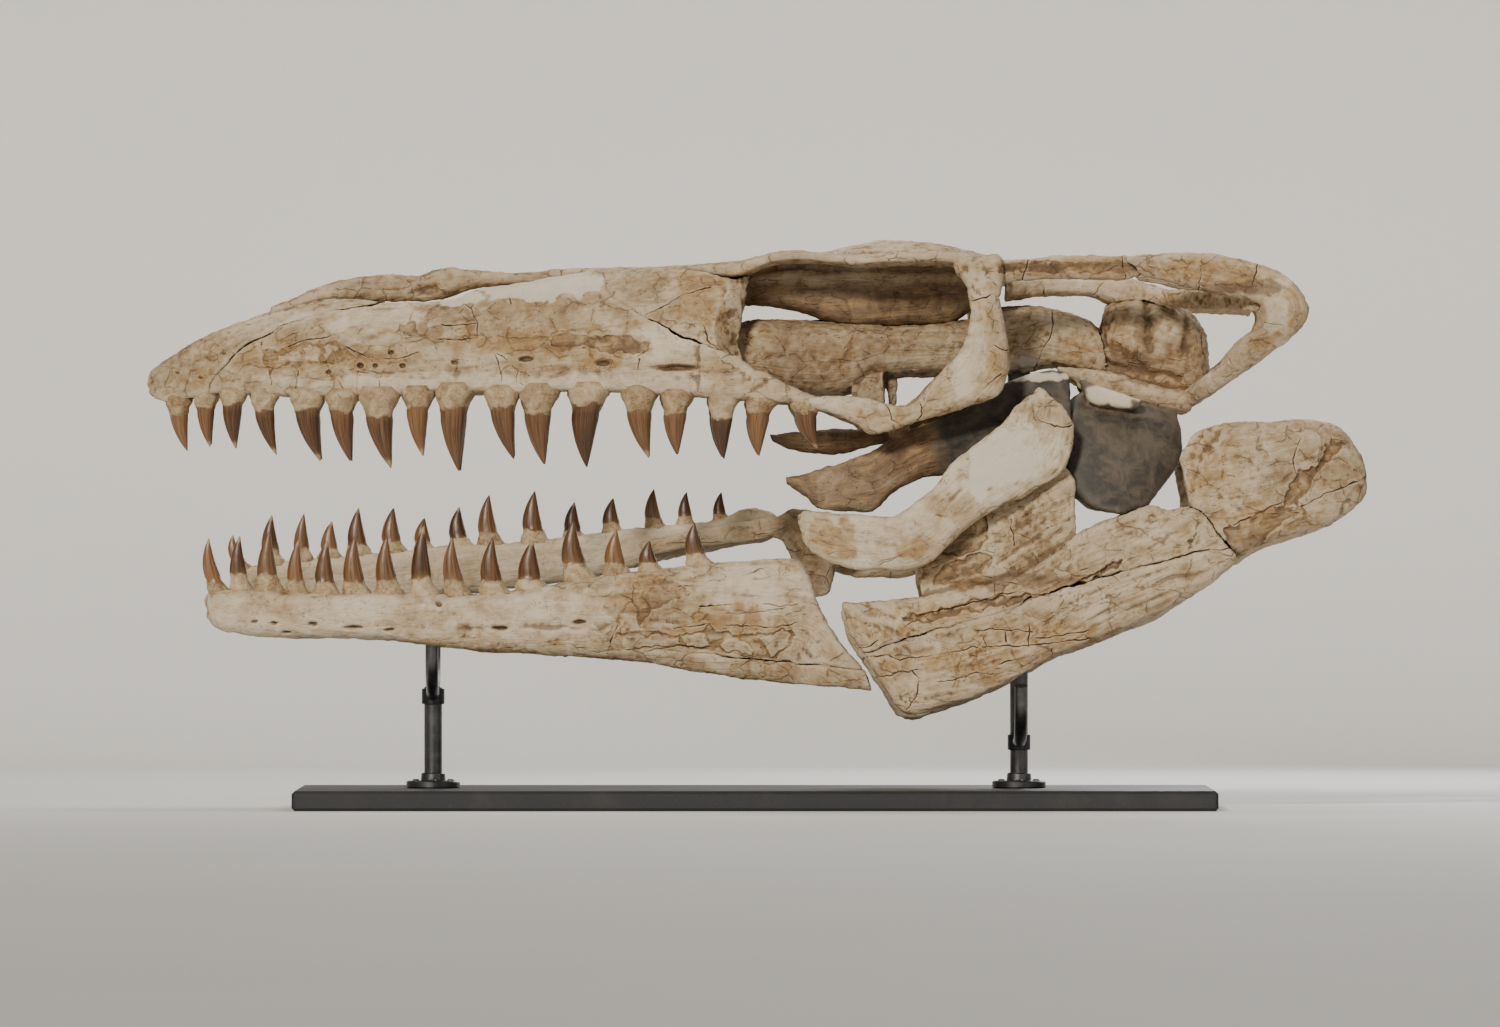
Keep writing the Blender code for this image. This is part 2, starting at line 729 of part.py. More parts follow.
class Skull:
    """Bones by name. Each is joined from its pieces, then cut clear of the bones it yields to."""

    def __init__(self, place, shop):
        self.place, self.shop, self.bones = place, shop, {}

    def add(self, name, pieces, yields_to=(), keep=None, cut=(), finish=None):
        """Joins pieces, keeps what is inside one region, and cuts others and neighbours away."""
        made, *others = pieces
        if others:
            boolean(made, others, "UNION")
        if keep:
            boolean(made, [keep], "INTERSECT")
        for region in cut:
            boolean(made, [region], "DIFFERENCE")
        for other in yields_to:
            boolean(made, [grown(self.bones[other], self.shop)], "DIFFERENCE")
        for user in list(made.users_collection):
            user.objects.unlink(made)
        self.place.objects.link(made)
        tidy(made)
        made.name = name
        made.data.name = name
        made.data.materials.clear()
        made.data.materials.append(finish or bone_finish(name))
        made.data.shade_smooth()
        made.data.set_sharp_from_angle(angle=math.radians(45))
        self.bones[name] = made
        return made

    def region(self, outline, name, grow=False):
        """A region to keep or cut, a little larger where it is cut away."""
        made = prism(outline, name, self.shop)
        if not grow:
            return made
        larger = grown(made, self.shop)
        bpy.data.objects.remove(made, do_unlink=True)
        return larger


SIDES = (("left", -1), ("right", 1))


def make_frontal(skull):
    """The roof plate over the orbits, its dome and the keel below."""
    plate = bar(FRONTAL_PLATE, "plate", skull.shop, power=4)
    dome = bar(FRONTAL_DOME, "dome", skull.shop, power=2)
    keel = bar(FRONTAL_KEEL, "keel", skull.shop, power=3)
    skull.add("frontal", [plate, dome, keel], ["premaxilla"])


def make_premaxilla(skull):
    """The tip of the snout with its first two teeth a side, and the bar between the nostrils."""
    tip = snout_whole("tip", skull.shop)
    boolean(tip, [skull.region(PREMAXILLA_REGION, "region")], "INTERSECT")
    ridge = bar(PREMAXILLA_BAR, "ridge", skull.shop, sides=8, power=2.2)
    teeth = [upper_tooth(i, side, skull.shop) for i in (0, 1) for _, side in SIDES]
    skull.add("premaxilla", [tip, ridge, *teeth])


def make_maxilla(skull, word, side):
    half = snout_half("half", skull.shop, side)
    process = bar(MAXILLA_PROCESS, "process", skull.shop, sides=8, side=side)
    teeth = [upper_tooth(i, side, skull.shop) for i in range(2, len(UPPER_TEETH))]
    regions = (PREMAXILLA_REGION, PREFRONTAL_REGION)
    cut = [skull.region(outline, "region", grow=True) for outline in regions]
    skull.add("maxilla_" + word, [half, process, *teeth], ["premaxilla", "frontal"], cut=cut)


def make_prefrontal(skull, word, side):
    half = snout_half("half", skull.shop, side)
    region = skull.region(PREFRONTAL_REGION, "region")
    skull.add("prefrontal_" + word, [half], ["frontal", "premaxilla"], keep=region)


def make_cheek(skull, word, side):
    """The jugal, postorbital and squamosal, which frame the orbit and the temporal opening."""
    foot = bar(POSTORBITAL_FOOT, "foot", skull.shop, side=side)
    upper_bar = bar(TEMPORAL_BAR, "upper_bar", skull.shop, sides=8, side=side)
    skull.add("postorbital_" + word, [foot, upper_bar], ["frontal"])
    jugal = bar(JUGAL, "jugal", skull.shop, side=side)
    skull.add("jugal_" + word, [jugal], ["maxilla_" + word, "postorbital_" + word])
    squamosal = bar(SQUAMOSAL, "squamosal", skull.shop, side=side)
    skull.add("squamosal_" + word, [squamosal], ["postorbital_" + word, "braincase"])


def make_braincase(skull):
    """The box round the brain with the bars that reach back to the quadrates."""
    box = bar(BRAINCASE, "box", skull.shop, power=3)
    ear_bars = [bar(EAR_BAR, "ear_bar", skull.shop, sides=8, side=side) for _, side in SIDES]
    skull.add("braincase", [box, *ear_bars])
    skull.add("basisphenoid", [bar(SPHENOID, "sphenoid", skull.shop, power=3)], ["braincase", "frontal"])


def make_parietal(skull):
    table = bar(PARIETAL_TABLE, "table", skull.shop, power=3)
    wings = [bar(PARIETAL_WING, "wing", skull.shop, sides=8, side=side) for _, side in SIDES]
    neighbours = ["frontal", "squamosal_left", "squamosal_right", "braincase"]
    skull.add("parietal", [table, *wings], neighbours)


def make_palate(skull):
    """Palatines and vomers as one block, with the broken stumps that hang from it."""
    block = bar(PALATE_BLOCK, "block", skull.shop, power=3)
    drops = [bar(PALATE_DROP, "drop", skull.shop, sides=8, side=side) for _, side in SIDES]
    peg = bar(PALATE_PEG, "peg", skull.shop, sides=6)
    neighbours = ["frontal", "basisphenoid"]
    neighbours += [bone + word for bone in ("maxilla_", "prefrontal_") for word, _ in SIDES]
    skull.add("palatine_block", [block, *drops, peg], neighbours)


def make_jaw_back(skull, word, side):
    """Surangular, angular, coronoid and articular."""
    shop = skull.shop
    shaft = bar(SURANGULAR, "shaft", shop, side=side)
    ledge = bar(BUTTRESS, "ledge", shop, sides=8, side=side)
    cut = [skull.region(ANGULAR_REGION, "region", grow=True)]
    skull.add("surangular_" + word, [shaft, ledge], cut=cut)
    lower = bar(SURANGULAR, "shaft", shop, side=side)
    keep = skull.region(ANGULAR_REGION, "region")
    skull.add("angular_" + word, [lower], keep=keep)
    hinge = bar(ARTICULAR, "hinge", shop, steps=2, side=side)
    skull.add("articular_" + word, [hinge], ["surangular_" + word, "angular_" + word])
    crest = bar(CORONOID, "crest", shop, side=side)
    skull.add("coronoid_" + word, [crest], ["surangular_" + word])
    if side > 0:
        for bone in ("surangular_", "angular_", "articular_", "coronoid_"):
            mesh = skull.bones[bone + word].data
            mesh.transform(Matrix.Translation((0, 0, -RIGHT_JAW_DROP * MM)))


def make_jaw_front(skull):
    """Dentaries with their teeth, and splenials. The right ones lie higher, as they slipped."""
    shop = skull.shop
    body = bar(DENTARY, "body", shop, sides=12)
    cut = skull.region(SPLENIAL_REGION, "region", grow=True)
    boolean(body, [cut], "DIFFERENCE")
    teeth = lower_teeth(LOWER_TEETH, DENTARY, -1, shop)
    skull.add("dentary_left", [body, *teeth], ["surangular_left", "angular_left"])
    strip = bar(DENTARY, "strip", shop, sides=12)
    keep = skull.region(SPLENIAL_REGION, "region")
    skull.add("splenial_left", [strip], ["dentary_left", "surangular_left", "angular_left"], keep=keep)
    body = bar(DENTARY_RIGHT, "body", shop)
    teeth = lower_teeth(LOWER_TEETH_RIGHT, DENTARY_RIGHT, -1, shop)
    skull.add("dentary_right", [body, *teeth])
    strip = bar(SPLENIAL_RIGHT, "strip", shop)
    skull.add("splenial_right", [strip], ["dentary_right", "coronoid_right"])


def make_quadrate(skull, word, side):
    plate = bar(QUADRATE, "plate", skull.shop, side=side)
    flake = bar(EAR_FRAGMENT, "flake", skull.shop, sides=8, side=side)
    neighbours = ["braincase", "squamosal_" + word]
    neighbours += [bone + word for bone in ("surangular_", "coronoid_", "articular_")]
    skull.add("quadrate_" + word, [plate, flake], neighbours)


def make_pterygoid(skull, word, side):
    """The left one keeps its drooping front blade, and the right one is narrower."""
    stations = PTERYGOID_LEFT if side < 0 else PTERYGOID_RIGHT
    blade = bar(stations, "blade", skull.shop, side=-1)
    strut = [(x, -side * y, z) for x, y, z in ECTOPTERYGOID]
    strut = rod(strut, ECTOPTERYGOID_RADIUS, "strut", skull.shop)
    skull.add("pterygoid_" + word, [blade, strut], ["quadrate_" + word, "jugal_" + word])


def make_stand(skull):
    """A flat base, and two rods that hold the palate and both halves of the lower jaw."""
    shop = skull.shop
    shape = bmesh.new()
    size = (BASE_LENGTH * MM, BASE_WIDTH * MM, BASE_HEIGHT * MM)
    lift = Matrix.Translation((0, 0, size[2] / 2))
    bmesh.ops.create_cube(shape, size=1, matrix=lift @ Matrix.Diagonal((*size, 1)))
    mesh = bpy.data.meshes.new("stand_base")
    shape.to_mesh(mesh)
    shape.free()
    slab = put(mesh, "stand_base", shop)
    edge = slab.modifiers.new("edge", "BEVEL")
    edge.width = 3 * MM
    edge.segments = 1
    bpy.context.view_layer.update()
    graph = bpy.context.evaluated_depsgraph_get()
    slab.data = bpy.data.meshes.new_from_object(slab.evaluated_get(graph))
    slab.modifiers.clear()
    skull.add("stand_base", [slab], finish=material("stand_base_finish", BLACK_RGB, 0.6))

    floor = BASE_HEIGHT + 0.3
    x = FRONT_POST_X
    post = rod([(x, 0, floor + 2), (x, 0, 122)], POST_RADIUS, "post", shop)
    foot = rod([(x, 0, floor), (x, 0, floor + 7)], 3 * POST_RADIUS, "foot", shop, 16)
    left = rod([(x, 4, 112), (x, -38, 122), (x, -62, 140), (x, -67, 176)], ARM_RADIUS, "arm", shop)
    right = rod([(x, -4, 112), (x, 36, 128), (x, 58, 158), (x, 63, 224)], ARM_RADIUS, "arm", shop)
    neighbours = ["dentary_left", "dentary_right"]
    steel = material("stand_post_front_finish", STEEL_RGB, 0.4, metallic=1.0)
    skull.add("stand_post_front", [post, foot, left, right], neighbours, finish=steel)

    x = REAR_POST_X
    post = rod([(x, 0, floor + 2), (x, 0, 434)], POST_RADIUS, "post", shop)
    foot = rod([(x, 0, floor), (x, 0, floor + 7)], 3 * POST_RADIUS, "foot", shop, 16)
    cradle = rod([(x, -34, 431), (x, 34, 431)], ARM_RADIUS, "cradle", shop)
    left = rod([(x, 4, 66), (x, -78, 72), (x, -120, 92), (x, -131, 146)], ARM_RADIUS, "arm", shop)
    right = rod([(x, -4, 66), (x, 78, 72), (x, 120, 90), (x, 131, 138)], ARM_RADIUS, "arm", shop)
    neighbours = ["basisphenoid", "palatine_block", "braincase", "angular_left", "angular_right"]
    steel = material("stand_post_rear_finish", STEEL_RGB, 0.4, metallic=1.0)
    skull.add("stand_post_rear", [post, foot, cradle, left, right], neighbours, finish=steel)


def main():
    clear_scene()
    place = collection("mosasaur_skull")
    shop = collection("cutters", shown=False)
    skull = Skull(place, shop)
    make_premaxilla(skull)
    make_frontal(skull)
    make_braincase(skull)
    for word, side in SIDES:
        make_maxilla(skull, word, side)
        make_prefrontal(skull, word, side)
        make_cheek(skull, word, side)
    make_parietal(skull)
    make_palate(skull)
    for word, side in SIDES:
        make_jaw_back(skull, word, side)
    make_jaw_front(skull)
    for word, side in SIDES:
        make_quadrate(skull, word, side)
        make_pterygoid(skull, word, side)
    make_stand(skull)


main()
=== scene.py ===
# Fossil mosasaur skull with open jaws, bone by bone, on a plain display stand: its looks.
#
# Tables are in millimetres. X runs from the snout (minus) to the back of the skull, Y from the
# animal's left side (minus), which faces the camera, to its right, and Z is the height above the
# floor. Each bone is lofted finely through the CAD's stations, joined in voxels, and then carved:
# grain, cracks, pits and chips move its points, and what they mark is kept for the finish.

import json
import math

import bmesh
import bpy
import numpy as np
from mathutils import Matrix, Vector
from mathutils.bvhtree import BVHTree

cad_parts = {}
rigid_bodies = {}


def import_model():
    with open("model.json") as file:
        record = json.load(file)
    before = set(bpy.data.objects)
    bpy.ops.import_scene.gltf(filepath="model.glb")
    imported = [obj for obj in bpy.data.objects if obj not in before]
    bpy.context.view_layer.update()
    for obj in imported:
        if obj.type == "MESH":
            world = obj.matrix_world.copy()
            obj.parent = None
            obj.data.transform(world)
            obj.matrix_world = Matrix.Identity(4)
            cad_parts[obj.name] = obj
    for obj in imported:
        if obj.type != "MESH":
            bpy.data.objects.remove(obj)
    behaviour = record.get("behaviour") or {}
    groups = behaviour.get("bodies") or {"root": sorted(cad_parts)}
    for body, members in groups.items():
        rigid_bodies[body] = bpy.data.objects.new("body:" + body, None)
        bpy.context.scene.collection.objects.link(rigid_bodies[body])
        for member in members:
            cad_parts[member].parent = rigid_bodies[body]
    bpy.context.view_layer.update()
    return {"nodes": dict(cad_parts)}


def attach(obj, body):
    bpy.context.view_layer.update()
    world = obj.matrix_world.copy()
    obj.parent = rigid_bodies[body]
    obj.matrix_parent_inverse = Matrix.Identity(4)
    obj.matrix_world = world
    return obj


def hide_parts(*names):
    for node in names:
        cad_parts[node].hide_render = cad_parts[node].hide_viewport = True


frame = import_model()
mm = 0.001
sides = (("left", -1), ("right", 1))
shotWidth = 1500  # the photograph's width in pixels, each taken as 1 mm
horizonRow, centreColumn, floorRow = 513.5, 755.0, 809.0


# Numbers

def hashed(x, y, z, seed):
    # A steady pseudo-random value from 0 to 1 for whole-number places.
    key = x * 374761393 + y * 668265263 + z * 1274126177 + seed * 974634777
    key = (key ^ (key >> 13)) * 1103515245 & 0x7FFFFFFF
    key = (key ^ (key >> 16)) * 668265263 & 0x7FFFFFFF
    return (key & 0xFFFFF) / 0xFFFFF


def noise(points, scale, seed=0):
    # Smooth value noise from -1 to 1, with lumps about scale wide (one number or three).
    place = np.asarray(points, float) / scale
    cell = np.floor(place).astype(np.int64)
    t = place - cell
    t = t * t * t * (t * (t * 6 - 15) + 10)
    total = 0.0
    for dx in (0, 1):
        wx = t[:, 0] if dx else 1 - t[:, 0]
        for dy in (0, 1):
            wy = t[:, 1] if dy else 1 - t[:, 1]
            for dz in (0, 1):
                wz = t[:, 2] if dz else 1 - t[:, 2]
                value = hashed(cell[:, 0] + dx, cell[:, 1] + dy, cell[:, 2] + dz, seed)
                total = total + value * wx * wy * wz
    return total * 2 - 1


def layers(points, scale, seed=0, octaves=3):
    # Noise with finer and weaker noise on top, from about -1 to 1.
    scale = np.asarray(scale, float)
    return sum(noise(points, scale / 2**i, seed + 17 * i) * 0.55**i for i in range(octaves))


def cells(points, size, seed=0):
    # Broken plates about size wide: distance to the nearest joint in mm, and a value a plate.
    place = points / size
    home = np.floor(place).astype(np.int64)
    first = np.full(len(points), 9.0)
    second = np.full(len(points), 9.0)
    value = np.zeros(len(points))
    for dx in (-1, 0, 1):
        for dy in (-1, 0, 1):
            for dz in (-1, 0, 1):
                near = home + np.array([dx, dy, dz])
                at = [near[:, 0], near[:, 1], near[:, 2]]
                middle = np.stack([hashed(*at, seed + k) for k in (1, 2, 3)], 1) * 0.84 + 0.08
                gap = np.sqrt((((near + middle) - place) ** 2).sum(1))
                closer = gap < first
                second = np.where(closer, first, np.minimum(second, gap))
                value = np.where(closer, hashed(*at, seed + 7), value)
                first = np.where(closer, gap, first)
    return (second - first) * 0.5 * np.min(size), value


def ramp(value, low, high):
    # 0 below low and 1 above high, smooth between them. Low may be the larger.
    t = np.clip((value - low) / (high - low), 0, 1)
    return t * t * (3 - 2 * t)


def lineDistance(points, line):
    # Distance in the side view from each point to a line through (x, z) places.
    flat = points[:, (0, 2)]
    best = np.full(len(flat), 1e9)
    for a, b in zip(np.array(line[:-1], float), np.array(line[1:], float)):
        step = b - a
        t = np.clip(((flat - a) @ step) / max(step @ step, 1e-9), 0, 1)
        best = np.minimum(best, np.hypot(*(flat - a - t[:, None] * step).T))
    return best


def depthInside(points, outline):
    # How far each point is inside a closed outline in the side view, and minus when outside.
    # A point is inside when a level line from it crosses the outline an odd number of times.
    x, z = points[:, 0], points[:, 2]
    within = np.zeros(len(points), bool)
    for (ax, az), (bx, bz) in zip(outline, (*outline[1:], outline[0])):
        if az != bz:
            within ^= ((az > z) != (bz > z)) & (x < (bx - ax) * (z - az) / (bz - az) + ax)
    return np.where(within, 1.0, -1.0) * lineDistance(points, (*outline, outline[0]))


def smoothRows(rows, steps):
    # A table with steps - 1 more rows between each two, on a Catmull-Rom curve through them.
    rows = np.array(rows, float)
    ends = np.vstack([2 * rows[0] - rows[1], rows, 2 * rows[-1] - rows[-2]])
    a, b, c, d = (ends[i : len(ends) - 3 + i, None] for i in range(4))
    t = (np.arange(steps) / steps)[None, :, None]
    bend = (2 * a - 5 * b + 4 * c - d) * t**2 + (3 * b - a - 3 * c + d) * t**3
    curve = b + 0.5 * ((c - a) * t + bend)
    return np.vstack([curve.reshape(-1, rows.shape[1]), rows[-1]])


# Meshes

shop = bpy.data.collections.new("scratch")
bpy.context.scene.collection.children.link(shop)
shown = bpy.data.collections.new("mosasaur_skull_looks")
bpy.context.scene.collection.children.link(shown)


def meshObject(name, points, faces, place=shop):
    # An object from points in millimetres, and faces as an array of quads or as lists.
    mesh = bpy.data.meshes.new(name)
    mesh.from_pydata((np.asarray(points) * mm).tolist(), [], faces)
    mesh.validate()
    mesh.update()
    made = bpy.data.objects.new(name, mesh)
    place.objects.link(made)
    return made


def ringQuads(index):
    # Quads between the rings of a table of point numbers, each ring closed on itself.
    turned = np.roll(index, -1, axis=1)
    quads = np.stack([index[:-1], index[1:], turned[1:], turned[:-1]], -1)
    return quads.reshape(-1, 4).tolist()


def closedGrid(grid, name, place=shop):
    # A closed mesh from an array of rings (rings, sides, 3), with a fan of triangles at each end.
    rings, around = grid.shape[:2]
    index = np.arange(rings * around).reshape(rings, around)
    points = np.vstack([grid.reshape(-1, 3), np.stack([grid[0].mean(0), grid[-1].mean(0)])])
    low, high = rings * around, rings * around + 1
    first, last = index[0].tolist(), index[-1].tolist()
    faces = ringQuads(index)
    faces += [[low, a, b] for a, b in zip(first, first[1:] + first[:1])]
    faces += [[high, b, a] for a, b in zip(last, last[1:] + last[:1])]
    return outward(meshObject(name, points, faces, place))


def outward(made):
    # Turns a closed mesh right side out: sum of area * (normal . centre) is its volume * 3.
    faces = made.data.polygons
    if sum(face.area * face.normal.dot(face.center) for face in faces) < 0:
        made.data.flip_normals()
    return made


def bar(stations, side=-1, power=2.8, around=40, spacing=3.0, grow=0.0):
    # Bone between two edges seen from the side, with rounded sections across its depth.
    # A ring is middle + across * up(t) + depth * out(t), with up and out on a superellipse.
    steps = max(2, round(meanStep(stations) / spacing))
    rows = smoothRows(stations, steps)
    turn = 2 * np.pi * (np.arange(around) + 0.5) / around
    up = np.sign(np.cos(turn)) * np.abs(np.cos(turn)) ** (2 / power)
    out = np.sign(np.sin(turn)) * np.abs(np.sin(turn)) ** (2 / power)
    upper, lower = rows[:, 0:2], rows[:, 2:4]
    middle, across = (upper + lower) / 2, (upper - lower) / 2
    across *= 1 + grow / np.maximum(np.hypot(*across.T), 1)[:, None]
    for end, inner in ((0, 1), (-1, -2)):
        ahead = middle[end] - middle[inner]
        middle[end] += grow * ahead / np.hypot(*ahead)
    grid = np.empty((len(rows), around, 3))
    grid[:, :, 0] = middle[:, :1] + across[:, :1] * up
    grid[:, :, 2] = middle[:, 1:] + across[:, 1:] * up
    grid[:, :, 1] = -side * rows[:, 4:5] + (np.maximum(rows[:, 5:6], 1) + grow) * out
    return closedGrid(grid, "bar")


def meanStep(stations):
    # Mean distance in the side view between the middles of neighbouring stations.
    rows = np.array(stations, float)
    middle = (rows[:, 0:2] + rows[:, 2:4]) / 2
    return np.hypot(*np.diff(middle, axis=0).T).mean()


def snoutRings(side):
    # Half outlines of the snout, from the top at the midline round to the palate.
    rows = smoothRows(snout, 8)
    fine = [smoothRows(section, 5) for section in (snoutFront, snoutBack)]
    x, top, base, width, boxy, trough, bow = (rows[:, i : i + 1] for i in range(7))
    out = (1 - boxy) * fine[0][:, 0] + boxy * fine[1][:, 0]
    up = (1 - boxy) * fine[0][:, 1] + boxy * fine[1][:, 1]
    dip = trough * np.clip(1 - out / 0.37, 0, 1) * (up > 0.5)
    z = base + up * (top - base) - dip
    height = (z - (top + base) / 2) / ((top - base) / 2)
    y = side * np.maximum(out * width, 0.2)
    return np.stack([x + bow * (height**2 - 0.35), y, z], -1)


def snoutHalf(side):
    # One side of the snout, closed along the midline.
    return closedGrid(snoutRings(side), "half")


def snoutWhole(grow=0.0):
    # Both halves as one ring, each point moved away from its ring's middle by grow.
    grid = np.concatenate([snoutRings(-1), snoutRings(1)[:, ::-1]], axis=1)
    middle = grid.mean(axis=1, keepdims=True)
    grid[:, :, 1:] += grow * np.sign(grid - middle)[:, :, 1:]
    grid[-1, :, 0] += grow
    return closedGrid(grid, "whole")


def rodRings(points, radius, around=24):
    # Rings round a smooth line of points.
    line = smoothRows(points, 10)
    ahead = np.gradient(line, axis=0)
    ahead /= np.linalg.norm(ahead, axis=1)[:, None]
    aside = np.array([1.0, 0, 0]) if abs(ahead[:, 0]).max() < 0.9 else np.array([0, 1.0, 0])
    first = np.cross(ahead, aside)
    first /= np.linalg.norm(first, axis=1)[:, None]
    second = np.cross(ahead, first)
    turn = 2 * np.pi * np.arange(around) / around
    radius = np.broadcast_to(np.asarray(radius, float), (len(line),))[:, None, None]
    circle = first[:, None] * np.cos(turn)[:, None] + second[:, None] * np.sin(turn)[:, None]
    return line[:, None] + radius * circle


def rod(points, radius, around=24):
    # A round rod along a smooth line of points.
    return closedGrid(rodRings(points, radius, around), "rod")


def wavy(outline, swing, seed):
    # An outline in the side view, cut into short steps that waver like a suture.
    outline = np.array(outline, float)
    pieces = []
    for a, b in zip(outline, np.roll(outline, -1, axis=0)):
        count = max(1, int(np.hypot(*(b - a)) // 4))
        pieces.append(a + (b - a) * (np.arange(count) / count)[:, None])
    line = np.vstack(pieces)
    at = np.column_stack([line[:, 0], np.zeros(len(line)), line[:, 1]])
    shift = [layers(at, 16, seed + k, 2) * swing for k in (0, 50)]
    return line + np.column_stack(shift)


def prism(outline, spread, swing=1.6, seed=3):
    # An outline run through the whole width, moved outwards by spread. Its walls lean by
    # 0.06 * (|y| - 100) in x and z, so that one can't see through a joint between two bones.
    line = wavy(outline, swing, seed)
    along = np.roll(line, -1, axis=0) - np.roll(line, 1, axis=0)
    normal = np.column_stack([along[:, 1], -along[:, 0]])
    normal /= np.maximum(np.hypot(*normal.T), 1e-9)[:, None]
    area = (line[:, 0] * np.roll(line[:, 1], -1) - np.roll(line[:, 0], -1) * line[:, 1]).sum()
    line = line + normal * spread * math.copysign(1, area)
    count = len(line)
    rings = [
        np.column_stack([line[:, 0] + lean, np.full(count, y), line[:, 1] + lean])
        for y, lean in ((-400.0, 18.0), (0.0, -6.0), (400.0, 18.0))
    ]
    index = np.arange(3 * count).reshape(3, count)
    turned = np.roll(index, -1, axis=1)
    quads = np.stack([index[:-1], turned[:-1], turned[1:], index[1:]], -1).reshape(-1, 4)
    faces = quads.tolist() + [index[0][::-1].tolist(), index[-1].tolist()]
    return outward(meshObject("prism", np.vstack(rings), faces))


def evaluated(made):
    # The object's mesh with its modifiers applied, as a new mesh.
    bpy.context.view_layer.update()
    graph = bpy.context.evaluated_depsgraph_get()
    return bpy.data.meshes.new_from_object(made.evaluated_get(graph))


def cutBy(target, cutter, operation):
    # The target without the cutter, or only where both are. The cutter is used up.
    step = target.modifiers.new("cut", "BOOLEAN")
    step.operation, step.object, step.solver = operation, cutter, "MANIFOLD"
    mesh = evaluated(target)
    target.modifiers.clear()
    if len(mesh.polygons):
        target.data = mesh
    bpy.data.objects.remove(cutter, do_unlink=True)
    return target


def joined(parts):
    # The parts' meshes in one object, still overlapping.
    first, *others = parts
    if others:
        with bpy.context.temp_override(active_object=first, selected_editable_objects=parts):
            bpy.ops.object.join()
    return first


def voxels(target, size):
    # The outer surface of overlapping closed parts, as even quads size mm wide.
    step = target.modifiers.new("voxels", "REMESH")
    step.mode, step.voxel_size, step.adaptivity = "VOXEL", size * mm, 0
    mesh = evaluated(target)
    bpy.data.objects.remove(target, do_unlink=True)
    return mesh


def paintMesh(mesh, name, values):
    # Four numbers for each point, kept on the mesh as a colour.
    layer = mesh.color_attributes.new(name, "FLOAT_COLOR", "POINT")
    layer.data.foreach_set("color", np.ascontiguousarray(values, np.float32).ravel())


def arrowMesh(mesh, name, values):
    # Three numbers for each point, kept on the mesh as a vector.
    layer = mesh.attributes.new(name, "FLOAT_VECTOR", "POINT")
    layer.data.foreach_set("vector", np.ascontiguousarray(values, np.float32).ravel())


class Surface:
    # A mesh as numpy arrays, in millimetres, for smoothing and carving.

    def __init__(self, mesh):
        self.mesh = mesh
        self.read()

    def read(self):
        # Points in mm, the two ends of each edge, and how many edges meet at a point.
        count = len(self.mesh.vertices)
        place = np.empty(count * 3)
        self.mesh.vertices.foreach_get("co", place)
        self.points = place.reshape(-1, 3) / mm
        ends = np.empty(len(self.mesh.edges) * 2, np.int32)
        self.mesh.edges.foreach_get("vertices", ends)
        self.a, self.b = ends.reshape(-1, 2).T
        self.degree = np.bincount(np.r_[self.a, self.b], minlength=count)[:, None]

    def refine(self, near, reach):
        # Halves the edges whose ends are both within reach of what near() measures.
        chosen = near(self.points) < reach
        shape = bmesh.new()
        shape.from_mesh(self.mesh)
        edges = [edge for edge in shape.edges if all(chosen[end.index] for end in edge.verts)]
        bmesh.ops.subdivide_edges(shape, edges=edges, cuts=1, use_grid_fill=True)
        shape.to_mesh(self.mesh)
        shape.free()
        self.read()

    def mean(self, values):
        # Mean of each point's neighbours.
        count = len(self.points)
        columns = [
            np.bincount(self.a, column[self.b], count) + np.bincount(self.b, column[self.a], count)
            for column in values.T
        ]
        return np.stack(columns, 1) / self.degree

    def smooth(self, rounds):
        # Evens the surface out without shrinking it: each round moves in, then back out.
        for _ in range(rounds):
            for share in (0.5, -0.52):
                self.points += share * (self.mean(self.points) - self.points)

    def normals(self):
        self.write()
        out = np.empty(len(self.points) * 3)
        self.mesh.vertex_normals.foreach_get("vector", out)
        return out.reshape(-1, 3)

    def hollow(self, normals, rounds=3):
        # How far each point lies below its neighbourhood, in mm: plus in creases.
        far = self.points
        for _ in range(rounds):
            far = self.mean(far)
        return ((far - self.points) * normals).sum(1)

    def settle(self):
        # Keeps the skin as it is before carving, for its neighbours.
        self.start = self.points.copy()
        self.low, self.high = self.start.min(0), self.start.max(0)
        faces = [tuple(face.vertices) for face in self.mesh.polygons]
        self.tree = BVHTree.FromPolygons(self.start.tolist(), faces)

    def write(self):
        self.mesh.vertices.foreach_set("co", (self.points * mm).ravel())
        self.mesh.update()


# Stations, from the solids: (x and z of the upper edge, x and z of the lower edge, place in y,
# half depth). The snout's are (x, top, base, half width, boxiness, trough, bow).

def upright(*rows):
    # Stations of a bone on the midline from (x, top, low, half depth), both edges being at one x.
    return tuple((x, top, x, low, 0, depth) for x, top, low, depth in rows)


